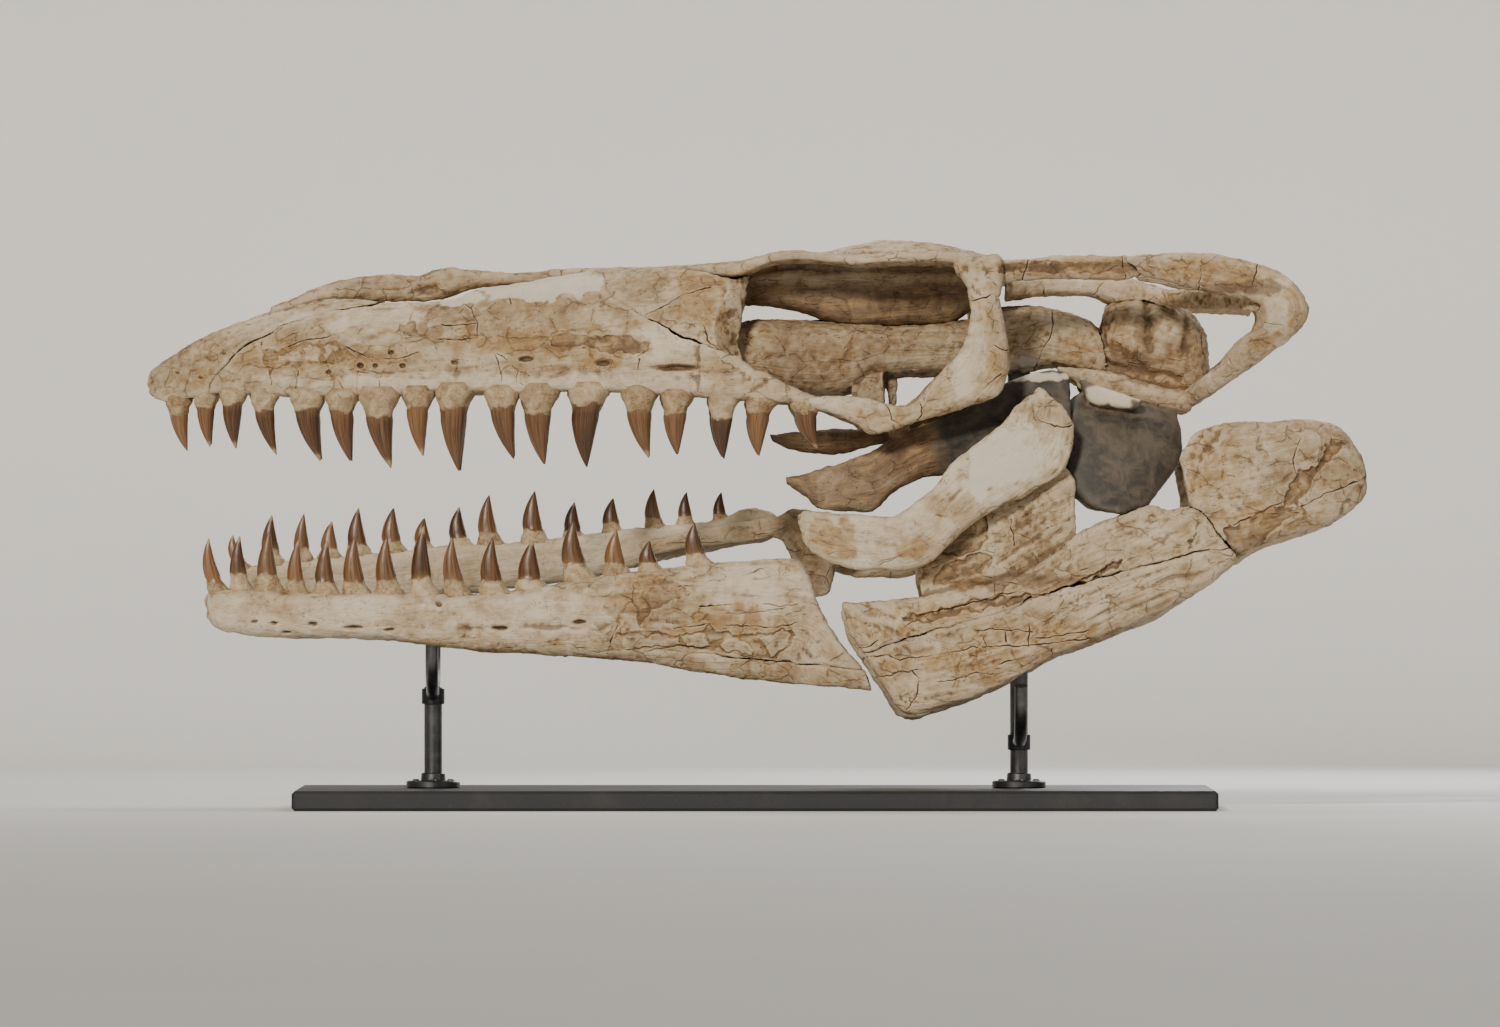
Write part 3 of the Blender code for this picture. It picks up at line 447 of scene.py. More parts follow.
snoutFront = (
    (0.0, 1.0), (0.34, 0.95), (0.64, 0.80), (0.86, 0.54), (0.98, 0.26), (1.0, 0.10), (0.94, 0.0),
    (0.74, 0.0), (0.60, 0.12), (0.0, 0.17),
)
snoutBack = (
    (0.0, 1.0), (0.40, 0.995), (0.62, 0.94), (0.78, 0.66), (0.95, 0.34), (1.0, 0.14), (0.97, 0.0),
    (0.80, 0.0), (0.70, 0.12), (0.0, 0.17),
)
snout = (
    (-609, 431, 424, 5, 0.0, 0, 0), (-604, 441, 414, 16, 0.0, 0, 0),
    (-589, 452, 408, 26, 0.0, 0, 0), (-565, 466, 412, 34, 0.0, 0, 0),
    (-535, 479, 417, 41, 0.0, 0, 0), (-495, 495, 415, 49, 0.05, 0, 0),
    (-450, 509, 414, 57, 0.1, 2, 0), (-405, 515, 414, 64, 0.2, 10, 0),
    (-355, 511, 416, 70, 0.3, 15, 0), (-305, 514, 419, 76, 0.4, 17, 0),
    (-280, 524, 418, 79, 0.44, 15, 0), (-245, 529, 417, 83, 0.5, 14, 0),
    (-185, 538, 420, 90, 0.65, 10, 0), (-125, 541, 418, 97, 0.8, 6, 4),
    (-75, 544, 414, 103, 0.95, 8, 14), (-49, 545, 412, 107, 1.0, 8, 26),
    (-27, 546, 410, 110, 1.0, 8, 38),
)
premaxillaRegion = (
    (-645, 380), (-541, 380), (-543, 428), (-529, 448), (-505, 469), (-473, 486), (-425, 501),
    (-355, 512), (-355, 600), (-645, 600),
)
prefrontalRegion = (
    (-155, 600), (-147, 520), (-109, 492), (-67, 470), (-13, 448), (55, 440), (55, 600),
)
splenialRegion = (
    (-220, 100), (-205, 151), (-155, 158), (-55, 155), (35, 145), (105, 138), (135, 135),
    (135, 100),
)
angularRegion = (
    (75, 60), (75, 148), (113, 157), (245, 197), (355, 234), (435, 252), (515, 262), (515, 60),
)
premaxillaBar = upright(
    (-485, 503, 482, 18), (-445, 518, 496, 18), (-415, 530, 505, 15), (-375, 536, 507, 13),
    (-340, 535, 507, 12), (-318, 541, 509, 13), (-300, 542, 515, 13), (-275, 539, 522, 11),
    (-230, 537, 525, 11), (-193, 542, 528, 15),
)
frontalPlate = upright(
    (-195, 541, 529, 18), (-155, 541, 528, 30), (-105, 543, 530, 44), (-55, 546, 531, 60),
    (-20, 548, 530, 76), (5, 553, 539, 88), (30, 559, 545, 94), (70, 557, 544, 97),
    (105, 554, 541, 101), (145, 557, 544, 106), (190, 558, 543, 108), (220, 553, 534, 104),
    (241, 549, 530, 80), (249, 545, 532, 60),
)
frontalDome = upright(
    (65, 556, 540, 40), (95, 563, 540, 54), (131, 569, 540, 60), (185, 565, 540, 62),
    (231, 555, 540, 52),
)
frontalKeel = (
    (-19, 538, -18, 506, 0, 22), (15, 546, 15, 503, 0, 30), (45, 546, 49, 497, 0, 33),
    (85, 546, 89, 484, 0, 34), (145, 546, 147, 482, 0, 34), (191, 546, 191, 485, 0, 30),
    (219, 541, 219, 502, 0, 24),
)
maxillaProcess = (
    (-55, 470, -55, 412, -101, 8), (-29, 464, -29, 411, -105, 8.5), (-9, 447, -9, 409, -108, 8.5),
    (17, 432, 15, 407, -111, 8.5), (43, 419, 39, 405, -114, 7.5), (63, 411, 61, 403, -116, 5),
)
jugal = (
    (53, 412, 53, 403, -119, 4.5), (80, 412, 73, 396, -122, 7), (106, 411, 97, 385, -126, 8),
    (129, 406, 116, 374, -130, 9), (146, 403, 142, 379, -134, 9.5),
    (160, 409, 167, 388, -138, 10.5), (175, 426, 207, 401, -142, 12),
    (190, 440, 240, 413, -145, 13), (205, 456, 251, 441, -146, 12),
    (213, 479, 248, 477, -144, 10.5), (215, 501, 243, 507, -140, 10), (211, 519, 240, 529, -134, 9),
)
postorbitalFoot = (
    (197, 548, 201, 534, -112, 14), (217, 552, 209, 526, -122, 15), (243, 553, 213, 516, -130, 14),
    (247, 535, 216, 508, -134, 12), (244, 512, 217, 500, -137, 9),
)
temporalBar = (
    (231, 550, 231, 522, -124, 12), (257, 548, 257, 527, -119, 9), (295, 552, 295, 528, -117, 8.5),
    (340, 553, 340, 527, -117, 8), (375, 552, 373, 529, -119, 7), (395, 550, 391, 539, -120, 5),
)
squamosal = (
    (367, 551, 387, 531, -124, 7), (410, 554, 411, 526, -127, 9), (455, 554, 451, 516, -134, 11),
    (495, 546, 481, 509, -143, 13), (529, 532, 501, 503, -151, 15), (549, 506, 507, 493, -155, 16),
    (545, 482, 502, 481, -150, 15), (515, 456, 485, 468, -134, 13), (485, 435, 468, 448, -110, 12),
    (455, 413, 445, 431, -82, 12), (435, 401, 429, 418, -62, 11),
)
parietalTable = (
    (251.2, 544, 251.2, 508, 0, 58), (263, 533, 263, 510, 0, 40), (295, 534, 291, 513, 0, 25),
    (340, 533, 335, 513, 0, 22), (371, 532, 367, 502, 0, 26), (399, 524, 399, 500, 0, 22),
    (413, 520, 413, 502, 0, 12),
)
parietalWing = (
    (387, 522, 387, 501, -10, 11), (425, 520, 425, 499, -46, 10), (460, 518, 457, 498, -86, 10),
    (491, 510, 487, 497, -124, 9), (503, 506, 500, 496, -140, 8),
)
braincase = (
    (352, 503, 337, 436, 0, 30), (363, 509, 347, 422, 0, 40), (387, 511, 377, 411, 0, 50),
    (415, 506, 409, 404, 0, 54), (438, 498, 434, 402, 0, 52), (451, 480, 450, 412, 0, 40),
    (455, 466, 455, 432, 0, 20),
)
earBar = (
    (301, 443, 313, 427, -32, 10), (347, 438, 339, 416, -42, 16), (383, 428, 375, 406, -48, 20),
    (415, 421, 407, 397, -50, 21), (439, 417, 435, 396, -50, 18),
)
sphenoid = (
    (229, 492, 229, 432, 0, 40), (257, 504, 257, 435, 0, 38), (300, 501, 300, 441, 0, 38),
    (335, 489, 331, 434, 0, 40), (361, 468, 361, 424, 0, 40),
)
palateBlock = upright(
    (-29, 486, 434, 50), (7, 491, 423, 50), (45, 490, 415, 48), (90, 487, 414, 46),
    (118, 486, 430, 45), (145, 485, 432, 44), (195, 488, 433, 42), (227, 492, 433, 40),
)
palateDrop = (
    (96, 440, 99, 404, -28, 10), (113, 440, 113, 403, -30, 11), (129, 440, 129, 402, -30, 10),
)
palatePeg = (
    (129, 440, 135, 405, -14, 7), (143, 440, 141, 403, -14, 7),
)
pterygoidLeft = (
    (29, 333, 31, 325, -74, 5), (45, 334, 50, 313, -76, 7), (65, 340, 64, 301, -78, 10),
    (95, 349, 93, 298, -82, 12), (125, 361, 117, 298, -86, 12), (150, 376, 136, 315, -90, 12),
    (175, 386, 162, 330, -93, 11), (210, 400, 195, 335, -96, 9), (250, 426, 240, 338, -97, 7.5),
    (290, 439, 285, 338, -97, 7), (313, 437, 320, 334, -98, 7),
)
pterygoidRight = (
    (13, 376, 17, 368, 60, 6), (35, 377, 35, 360, 62, 9), (65, 379, 65, 356, 66, 10),
    (95, 380, 93, 357, 70, 10), (120, 382, 117, 363, 74, 10), (155, 392, 149, 366, 80, 10),
    (200, 410, 195, 372, 90, 9), (250, 420, 245, 378, 96, 7.5), (290, 433, 295, 372, 97, 7),
    (313, 431, 320, 360, 98, 7),
)
quadrate = (
    (331, 421, 421, 397, -76, 8), (311, 404, 425, 380, -86, 12), (301, 380, 426, 358, -97, 15),
    (303, 350, 417, 336, -108, 16), (315, 320, 397, 312, -120, 16), (337, 301, 383, 293, -133, 13),
)
earFragment = (
    (323, 430, 326, 419, -92, 4), (333, 427, 335, 405, -94, 7), (357, 418, 355, 401, -97, 8),
    (385, 409, 383, 400, -99, 6),
)
dentary = (
    (-551, 207, -549, 191, -26, 10), (-547, 215, -541, 181, -28, 14),
    (-530, 219, -525, 176, -32, 17), (-495, 219, -493, 172, -40, 19),
    (-415, 215, -415, 170, -54, 20), (-335, 214, -335, 165, -66, 21),
    (-255, 217, -255, 157, -77, 22), (-195, 226, -195, 153, -85, 22),
    (-135, 236, -135, 150, -92, 21), (-75, 243, -75, 141, -98, 20), (-15, 249, -15, 130, -103, 17),
    (30, 251, 35, 125, -107, 14), (49, 243, 65, 123, -109, 12), (61, 209, 88, 121, -110, 11),
    (84, 169, 105, 120, -111, 9), (111, 137, 116, 119, -112, 7),
)
dentaryRight = (
    (-523, 226, -521, 211, 28, 9), (-517, 239, -511, 197, 31, 13), (-475, 247, -471, 199, 42, 16),
    (-415, 253, -411, 203, 52, 17), (-335, 261, -331, 211, 62, 18), (-255, 266, -251, 219, 70, 18),
    (-195, 271, -191, 227, 76, 17), (-135, 278, -131, 239, 82, 16), (-75, 285, -70, 252, 88, 14),
    (-35, 290, -30, 260, 91, 12), (-5, 301, -3, 265, 94, 11), (17, 296, 15, 269, 96, 9),
    (28, 287, 27, 279, 97, 6),
)
splenialRight = (
    (-115, 266, -113, 252, 68, 4), (-55, 280, -53, 262, 74, 6), (-5, 290, -3, 266, 79, 6.5),
    (22, 294, 24, 270, 83, 7), (34, 300, 38, 248, 86, 7), (44, 301, 48, 217, 89, 7),
    (55, 300, 61, 211, 92, 6.5), (73, 292, 76, 216, 95, 5), (83, 288, 85, 244, 104, 5),
    (107, 286, 109, 250, 118, 5), (133, 280, 135, 254, 128, 5),
)
surangular = (
    (87, 206, 94, 177, -114, 8), (103, 208, 107, 157, -117, 11), (130, 209, 127, 125, -121, 13),
    (160, 212, 152, 96, -124, 14), (195, 219, 195, 106, -127, 15), (245, 229, 245, 124, -130, 16),
    (285, 249, 291, 150, -132, 16), (325, 277, 345, 173, -134, 17), (360, 294, 390, 190, -136, 18),
    (392, 303, 425, 208, -138, 19), (410, 297, 445, 222, -139, 20), (425, 300, 465, 236, -140, 20),
    (441, 302, 481, 249, -140, 18),
)
buttress = (
    (161, 245, 166, 214, -122, 6), (188, 277, 186, 205, -124, 8), (231, 304, 231, 214, -126, 8.5),
    (275, 320, 277, 226, -127, 8.5), (304, 341, 306, 244, -128, 8), (318, 330, 319, 262, -128, 6),
)
articular = (
    (423, 352, 431, 306, -142, 9), (435, 372, 451, 262, -142, 16), (465, 384, 479, 251, -142, 21),
    (510, 385, 515, 268, -141, 23), (550, 388, 555, 281, -139, 22), (583, 381, 590, 296, -137, 18),
    (603, 354, 606, 313, -135, 13), (609, 334, 609, 322, -134, 7),
)
coronoid = (
    (42, 293, 44, 281, -130, 5), (51, 298, 57, 257, -133, 7), (85, 296, 93, 241, -137, 9),
    (125, 293, 130, 240, -141, 10), (142, 294, 150, 239, -144, 10.5),
    (160, 306, 175, 249, -146, 11), (180, 324, 207, 279, -147, 12), (195, 345, 245, 304, -147, 13),
    (220, 366, 275, 317, -145, 12), (245, 385, 307, 339, -141, 10), (263, 405, 317, 379, -136, 8),
    (282, 422, 305, 403, -132, 5.5),
)
upperTeeth = (
    (-577, -569, 358, 27), (-550, -546, 362, 24), (-522, -520, 361, 28), (-491, -479, 354, 29),
    (-448, -435, 348, 34), (-413, -405, 348, 32), (-375, -364, 341, 40), (-336, -332, 353, 32),
    (-300, -296, 338, 37), (-252, -241, 350, 35), (-215, -210, 345, 40), (-165, -168, 342, 41),
    (-115, -106, 351, 36), (-77, -77, 355, 34), (-30, -31, 350, 32), (7, 4, 353, 33),
    (51, 62, 360, 32),
)
lowerTeeth = (
    (-535, -547, 271, 24), (-513, -516, 273, 26), (-485, -486, 277, 30), (-458, -457, 269, 24),
    (-428, -428, 268, 28), (-396, -400, 272, 31), (-363, -368, 272, 31), (-330, -331, 283, 30),
    (-295, -302, 271, 29), (-259, -262, 271, 31), (-222, -222, 269, 33), (-173, -181, 288, 35),
    (-136, -138, 279, 30), (-102, -105, 268, 28), (-52, -60, 286, 30),
)
lowerTeethRight = (
    (-510, -525, 274, 22), (-483, -486, 294, 27), (-454, -454, 295, 24), (-426, -426, 288, 26),
    (-397, -399, 301, 28), (-363, -364, 301, 29), (-332, -333, 291, 25), (-295, -298, 302, 27),
    (-265, -268, 314, 29), (-221, -222, 318, 30), (-181, -182, 307, 25), (-142, -143, 311, 26),
    (-99, -102, 320, 24), (-68, -69, 317, 21), (-34, -34, 317, 19),
)
upperRow = (
    (-609, 8), (-577, 19), (-550, 28), (-522, 36), (-485, 43), (-445, 50), (-405, 56), (-355, 62),
    (-305, 67), (-245, 73), (-185, 79), (-125, 86), (-75, 92), (-35, 99), (5, 105), (55, 112),
)


# Cracks, pits and sunk or raised areas, in the side view. A pit is (x, z, half length, half height,
# depth), and an area is (depth, shade, outline), shade being how much painted shade darkens it:
# both are minus where it is raised, and then it is painted paler.

jugalCracks = (
    ((128, 409), (137, 390), (149, 378)), ((215, 506), (228, 510), (241, 515)),
    ((211, 474), (215, 472), (231, 466), (251, 456)), ((164, 404), (167, 394), (161, 381)),
    ((245, 434), (225, 419)),
)
barCracks = (
    ((273, 553), (265, 526)), ((365, 555), (369, 523)),
)
parietalCracks = (
    ((352, 533), (338, 512)), ((285, 533), (291, 512)),
)
sphenoidCracks = (
    ((298, 509), (298, 476), (290, 462), (277, 434)), ((255, 479), (285, 487)),
)
squamosalCracks = (
    ((445, 555), (441, 517)), ((501, 547), (488, 509)), ((535, 479), (503, 487)),
    ((481, 437), (467, 457)),
)
maxillaPits = (
    (-395, 444, 4, 3, 5), (-380, 444, 3, 2.5, 4), (-365, 457, 3.5, 2.5, 4),
    (-353, 444, 3, 2.5, 4), (-372, 413, 5, 3, 4), (-228, 450, 8, 3, 5), (-152, 446, 8.5, 3.2, 5),
    (-79, 441, 23, 3.6, 6), (-300, 447, 4, 2.5, 4), (-427, 437, 3, 2.5, 3),
)
dentaryPits = (
    (-501, 188, 4, 2, 3), (-481, 186, 5, 2, 4), (-442, 185, 6, 2.5, 5), (-468, 176, 5, 1.5, 2.5),
    (-402, 182, 10, 2.5, 5), (-254, 181, 9, 3, 6), (-316, 206, 3.5, 3.5, 4),
    (-175, 187, 8, 2.5, 4), (-365, 179, 6, 2, 3),
)
premaxillaPits = (
    (-579, 437, 2, 1.6, 1.6), (-556, 432, 2.4, 1.7, 1.8), (-532, 456, 2.6, 1.5, 1.5),
)
articularLines = (
    ((547, 379), (541, 365), (535, 349), (538, 334)),
    ((543, 302), (561, 312), (579, 320), (608, 331)), ((453, 342), (467, 334), (475, 331)),
    ((475, 285), (496, 293), (524, 308)),
)
coronoidLines = (
    ((271, 403), (282, 389), (299, 382), (316, 383)), ((65, 279), (76, 276), (87, 269)),
    ((65, 269), (78, 264), (93, 262)), ((113, 238), (134, 249), (156, 258)),
    ((119, 244), (141, 253), (160, 260)), ((74, 256), (98, 258), (121, 256)),
    ((230, 298), (245, 305), (267, 316), (290, 325)),
)
surangularLines = (
    ((232, 295), (231, 277), (225, 259)), ((254, 290), (257, 273), (259, 263)),
    ((225, 260), (238, 256)), ((293, 221), (288, 212), (286, 197)),
    ((100, 163), (111, 163), (129, 171), (147, 180), (160, 190)),
    ((158, 194), (189, 201), (221, 208), (241, 215), (262, 218), (283, 212)),
    ((238, 231), (239, 215)), ((292, 222), (289, 210), (287, 197)),
    ((362, 233), (357, 212), (358, 197), (360, 178)), ((299, 227), (325, 239), (351, 248)),
    ((228, 233), (262, 225), (278, 231)),
)
angularLines = (
    ((111, 152), (134, 155), (145, 150), (181, 155), (210, 161), (231, 164), (275, 164),
     (309, 168), (338, 171)), ((111, 133), (134, 134), (155, 140), (171, 139)),
    ((155, 140), (164, 131), (160, 113), (150, 100)), ((228, 173), (231, 164)),
    ((249, 178), (249, 168)), ((273, 184), (272, 163)), ((357, 212), (358, 197), (360, 178)),
    ((184, 127), (221, 137), (236, 137)), ((241, 146), (262, 150), (278, 154)),
    ((278, 171), (317, 176), (341, 180)), ((221, 180), (252, 180), (275, 178)),
    ((296, 160), (296, 148)),
)
dentaryLines = (
    ((-155, 159), (-128, 158), (-101, 160), (-76, 164), (-55, 163), (-41, 160), (-30, 157),
     (-7, 152), (24, 152)), ((-103, 196), (-92, 193), (-80, 198), (-71, 196)),
    ((-80, 182), (-48, 185), (-12, 184), (24, 182), (41, 187)),
    ((-78, 222), (-55, 224), (-41, 230), (-26, 230), (2, 239), (11, 243)),
    ((-39, 157), (-32, 150), (-25, 141)), ((-137, 184), (-141, 175), (-144, 166)),
    ((-55, 202), (-30, 205), (-3, 207)), ((-48, 193), (-19, 196), (6, 198), (31, 202)),
    ((6, 207), (24, 203), (43, 205)),
)
maxillaLines = (
    ((-495, 468), (-493, 458), (-488, 448), (-486, 434), (-484, 424)),
    ((-481, 457), (-457, 467), (-433, 472), (-410, 476)), ((-458, 440), (-461, 415)),
    ((-398, 438), (-397, 414)), ((-426, 438), (-416, 427), (-412, 420)),
    ((-400, 438), (-383, 436), (-376, 429), (-374, 417)),
    ((-414, 464), (-390, 453), (-357, 451), (-336, 457)),
    ((-301, 513), (-288, 504), (-284, 501), (-278, 485), (-278, 472)), ((-279, 515), (-285, 502)),
    ((-315, 484), (-295, 484), (-278, 485)), ((-260, 456), (-255, 440), (-249, 419)),
    ((-246, 513), (-244, 505)), ((-227, 491), (-215, 497), (-207, 495)),
    ((-117, 452), (-111, 458)), ((-116, 450), (-116, 440), (-117, 427)),
    ((-237, 440), (-238, 423)), ((-315, 470), (-299, 470), (-278, 472)),
    ((-258, 456), (-250, 450)), ((-336, 508), (-343, 498), (-345, 489)),
)
prefrontalLines = (
    ((-72, 501), (-64, 493), (-52, 483), (-48, 472)), ((-70, 493), (-58, 484)),
    ((-52, 478), (-44, 466), (-29, 456)), ((-109, 493), (-91, 503), (-70, 515), (-44, 523)),
)
articularRecess = (
    (3.0, 0.75, (
        (536, 334), (561, 347), (569, 365), (575, 375), (589, 367), (571, 349), (559, 334),
        (549, 318), (541, 302), (526, 304), (525, 311), (534, 328),
    )),
    (2.6, 0.7, (
        (467, 283), (496, 293), (524, 306), (541, 299), (520, 283), (508, 267), (496, 251),
        (479, 249), (463, 267),
    )),
    (-0.8, -0.3, (
        (547, 379), (541, 365), (535, 349), (538, 334), (561, 347), (562, 373),
    )),
)
surangularRecess = (
    (3.2, 0.85, (
        (164, 264), (186, 288), (217, 295), (231, 297), (232, 277), (225, 260), (199, 253),
        (186, 258), (167, 258),
    )),
    (2.4, 0.7, (
        (186, 240), (199, 252), (225, 258), (236, 249), (230, 234), (204, 227), (180, 223),
        (178, 227),
    )),
    (4.6, 0.55, (
        (145, 194), (173, 198), (217, 209), (249, 215), (282, 213), (303, 222), (342, 240),
        (365, 248), (365, 242), (325, 224), (295, 209), (260, 206), (217, 197), (173, 187),
        (150, 189),
    )),
    (1.2, 0.8, (
        (142, 163), (163, 173), (197, 178), (252, 190), (262, 193), (252, 184), (226, 180),
        (200, 168), (173, 157), (147, 152),
    )),
)
dentaryRecess = (
    (1.8, 0.75, (
        (-137, 176), (-101, 178), (-76, 175), (-55, 180), (-44, 184), (-30, 178), (-1, 176),
        (38, 180), (43, 173), (34, 164), (22, 152), (-1, 152), (-30, 157), (-41, 161), (-75, 164),
        (-134, 158),
    )),
    (-1.8, -0.6, (
        (-136, 174), (-78, 173), (-76, 165), (-134, 160),
    )),
    (-1.8, -0.6, (
        (-75, 174), (-55, 178), (-46, 174), (-43, 164), (-69, 165),
    )),
    (-1.8, -0.6, (
        (-35, 164), (-32, 171), (-19, 175), (0, 160), (-1, 153), (-30, 159),
    )),
    (-1.8, -0.6, (
        (2, 173), (34, 178), (37, 173), (32, 164), (16, 154), (9, 168),
    )),
    (1.3, 0.8, (
        (-121, 228), (-101, 232), (-80, 226), (-76, 221), (-62, 216), (-84, 205), (-103, 198),
        (-114, 178), (-123, 210),
    )),
)
maxillaRecess = (
    (1.2, 0.75, (
        (-493, 464), (-481, 457), (-457, 466), (-416, 468), (-412, 462), (-400, 453), (-416, 446),
        (-450, 443), (-481, 441), (-486, 436), (-491, 445),
    )),
    (-1.2, -0.6, (
        (-478, 453), (-457, 459), (-452, 447), (-477, 445),
    )),
    (-1.2, -0.6, (
        (-452, 462), (-438, 465), (-436, 447), (-449, 446),
    )),
    (-1.2, -0.6, (
        (-434, 464), (-417, 464), (-416, 460), (-431, 449),
    )),
    (1.6, 0.9, (
        (-205, 462), (-201, 472), (-184, 476), (-172, 472), (-142, 474), (-119, 472), (-103, 464),
        (-111, 454), (-131, 456), (-162, 459), (-201, 461),
    )),
    (1.4, 0.7, (
        (-355, 486), (-343, 487), (-328, 473), (-349, 473), (-360, 476),
    )),
)
barRecess = (
    (0.9, 1.25, (
        (244, 545), (320, 546), (397, 548), (425, 545), (397, 539), (320, 536), (244, 535),
    )),
)


# Bones

boneWork = {
    "size": 1.8,  # voxels, mm, where a bone sets none
    "farSize": 1.4,  # how many times coarser the far side is
    "joint": 0.15,  # how far a bone is cut clear of its neighbour, mm
    "smoothing": 2,  # rounds
    "flat": 3.6,  # roundness of the jaw's plates: 2 is an ellipse, more is boxier
    "grain": (46.0, 4.2, 4.2),  # a fibre's length and width, mm
    "seamReach": 2.2,  # how far from its neighbour a bone's edge is worn, mm
    "fineReach": (3.2, 1.5),  # mm from a crack within which the skin's mesh is halved, twice
    "farSeed": 100,  # so that the two sides of the skull don't wear alike
    "slip": 8.0,  # how much lower the right jaw hangs, mm
}
roughBones = {}


def farOnly(side, value):
    # The value on the right side, and nothing on the left.
    return value * (side > 0)


def lowered(rows, drop):
    # A bone's stations, moved down.
    return [(a, b - drop, c, d - drop, *rest) for a, b, c, d, *rest in rows]


def spineOf(rows):
    # The line through the middles of a bone's stations, as (x, z, depth).
    return [((a + c) / 2, (b + d) / 2, depth) for a, b, c, d, depth, *_ in rows]


def shapeBone(name, parts, cutters=(), spine=(), side=-1, size=boneWork["size"], **work):
    # Every part is cut by every cutter, then all are one skin of even quads. The rest of the
    # settings is kept for carving: the seed, the size, step and split of broken plates, and places.
    for part in parts:
        for cutter in cutters:
            cutBy(part, cutter(), "DIFFERENCE")
    coarser = boneWork["farSize"] if side > 0 else 1
    surface = Surface(voxels(joined(parts), size * coarser))
    surface.smooth(boneWork["smoothing"])
    surface.write()
    roughBones[name] = (surface, spine, side, work)


def clear(rows, side=-1, power=2.8):
    # A cutter: the neighbour's loft, moved outwards by the joint.
    return lambda: bar(rows, side, power, grow=boneWork["joint"])


def kept(part, outline, swing=1.6, seed=3, spread=0.0):
    # What lies inside an outline in the side view.
    return cutBy(part, prism(outline, spread, swing, seed), "INTERSECT")


def around(outline, swing=1.6, seed=3):
    # A cutter: all inside an outline in the side view, and the joint.
    return lambda: prism(outline, boneWork["joint"], swing, seed)


offPlate, offKeel = clear(frontalPlate, power=4), clear(frontalKeel, power=3)
offNoseBar, offBraincase = clear(premaxillaBar, power=2.2), clear(braincase, power=3)
snoutSpine = [(-609, 428, 5), (-500, 452, 30), (-300, 466, 50), (-27, 480, 70)]
roofSpine = [(-195, 535, 0), (0, 540, 0), (241, 545, 0)]


def valueAt(rows, column, x):
    # A table's column at x, on straight lines between its rows.
    return np.interp(x, [row[0] for row in rows], [row[column] for row in rows])


def socketsOf(teeth, rows, column, rise):
    # (x, height of the rim, width) for the socket of each tooth.
    places = [tooth[0] for tooth in teeth]
    heights = valueAt(rows, column, places) + rise
    return [(x, z, tooth[3]) for x, z, tooth in zip(places, heights, teeth)]


ridge = bar(premaxillaBar, power=2.2)
tip = kept(snoutWhole(), premaxillaRegion)
shapeBone(
    "premaxilla", [tip, ridge], spine=snoutSpine, seed=11, plate=26, step=0.35, split=0.7,
    rough=0.55, pits=premaxillaPits, dark=((-331, 520, 11, 6),),
    troughs=((-341, 519, -322, 521, 4, 3.5),),
    fair=((-470, 486, 110, 16),), look="ochre", brown=0.12,
)
plate = bar(frontalPlate, power=4)
dome = bar(frontalDome, power=2)
keel = bar(frontalKeel, power=3)
# the frontal's lower part is painted darker, as shade under the roof in the orbit
shapeBone(
    "frontal", [plate, dome, keel], [offNoseBar], roofSpine, seed=21,
    plate=52, step=0.5, split=0.7, rough=0.3, brownBelow=(534, 522), stains=((-60, 540, 80, 9),),
)
earBars = [bar(earBar, side) for _, side in sides]
# the braincase's dark patches are painted shade in its pockets and under its rounded part
shapeBone(
    "braincase", [bar(braincase, power=3), *earBars], spine=spineOf(braincase), seed=31,
    plate=24, step=0.5, split=0.6, rough=0.7, brown=0.14, look="ochre",
    stains=((370, 478, 40, 30), (425, 440, 30, 30)), fair=((385, 490, 14, 16), (408, 470, 6, 26)),
    dark=((390, 482, 12, 16), (372, 450, 34, 8), (434, 472, 12, 14)),
    troughs=((392, 503, 394, 462, 6, 7.0), (345, 470, 385, 446, 7, 4.5),
             (352, 445, 425, 430, 4.5, 5.0), (434, 488, 432, 458, 6, 5.0)),
)
shapeBone(
    "basisphenoid", [bar(sphenoid, power=3)],
    [offBraincase, offPlate, offKeel],
    spineOf(sphenoid), seed=41, plate=22, step=0.4, split=0.9, rough=0.7, lines=sphenoidCracks,
    look="ochre", stains=((320, 455, 24, 14),), whites=((268, 448, 16, 9),),
)
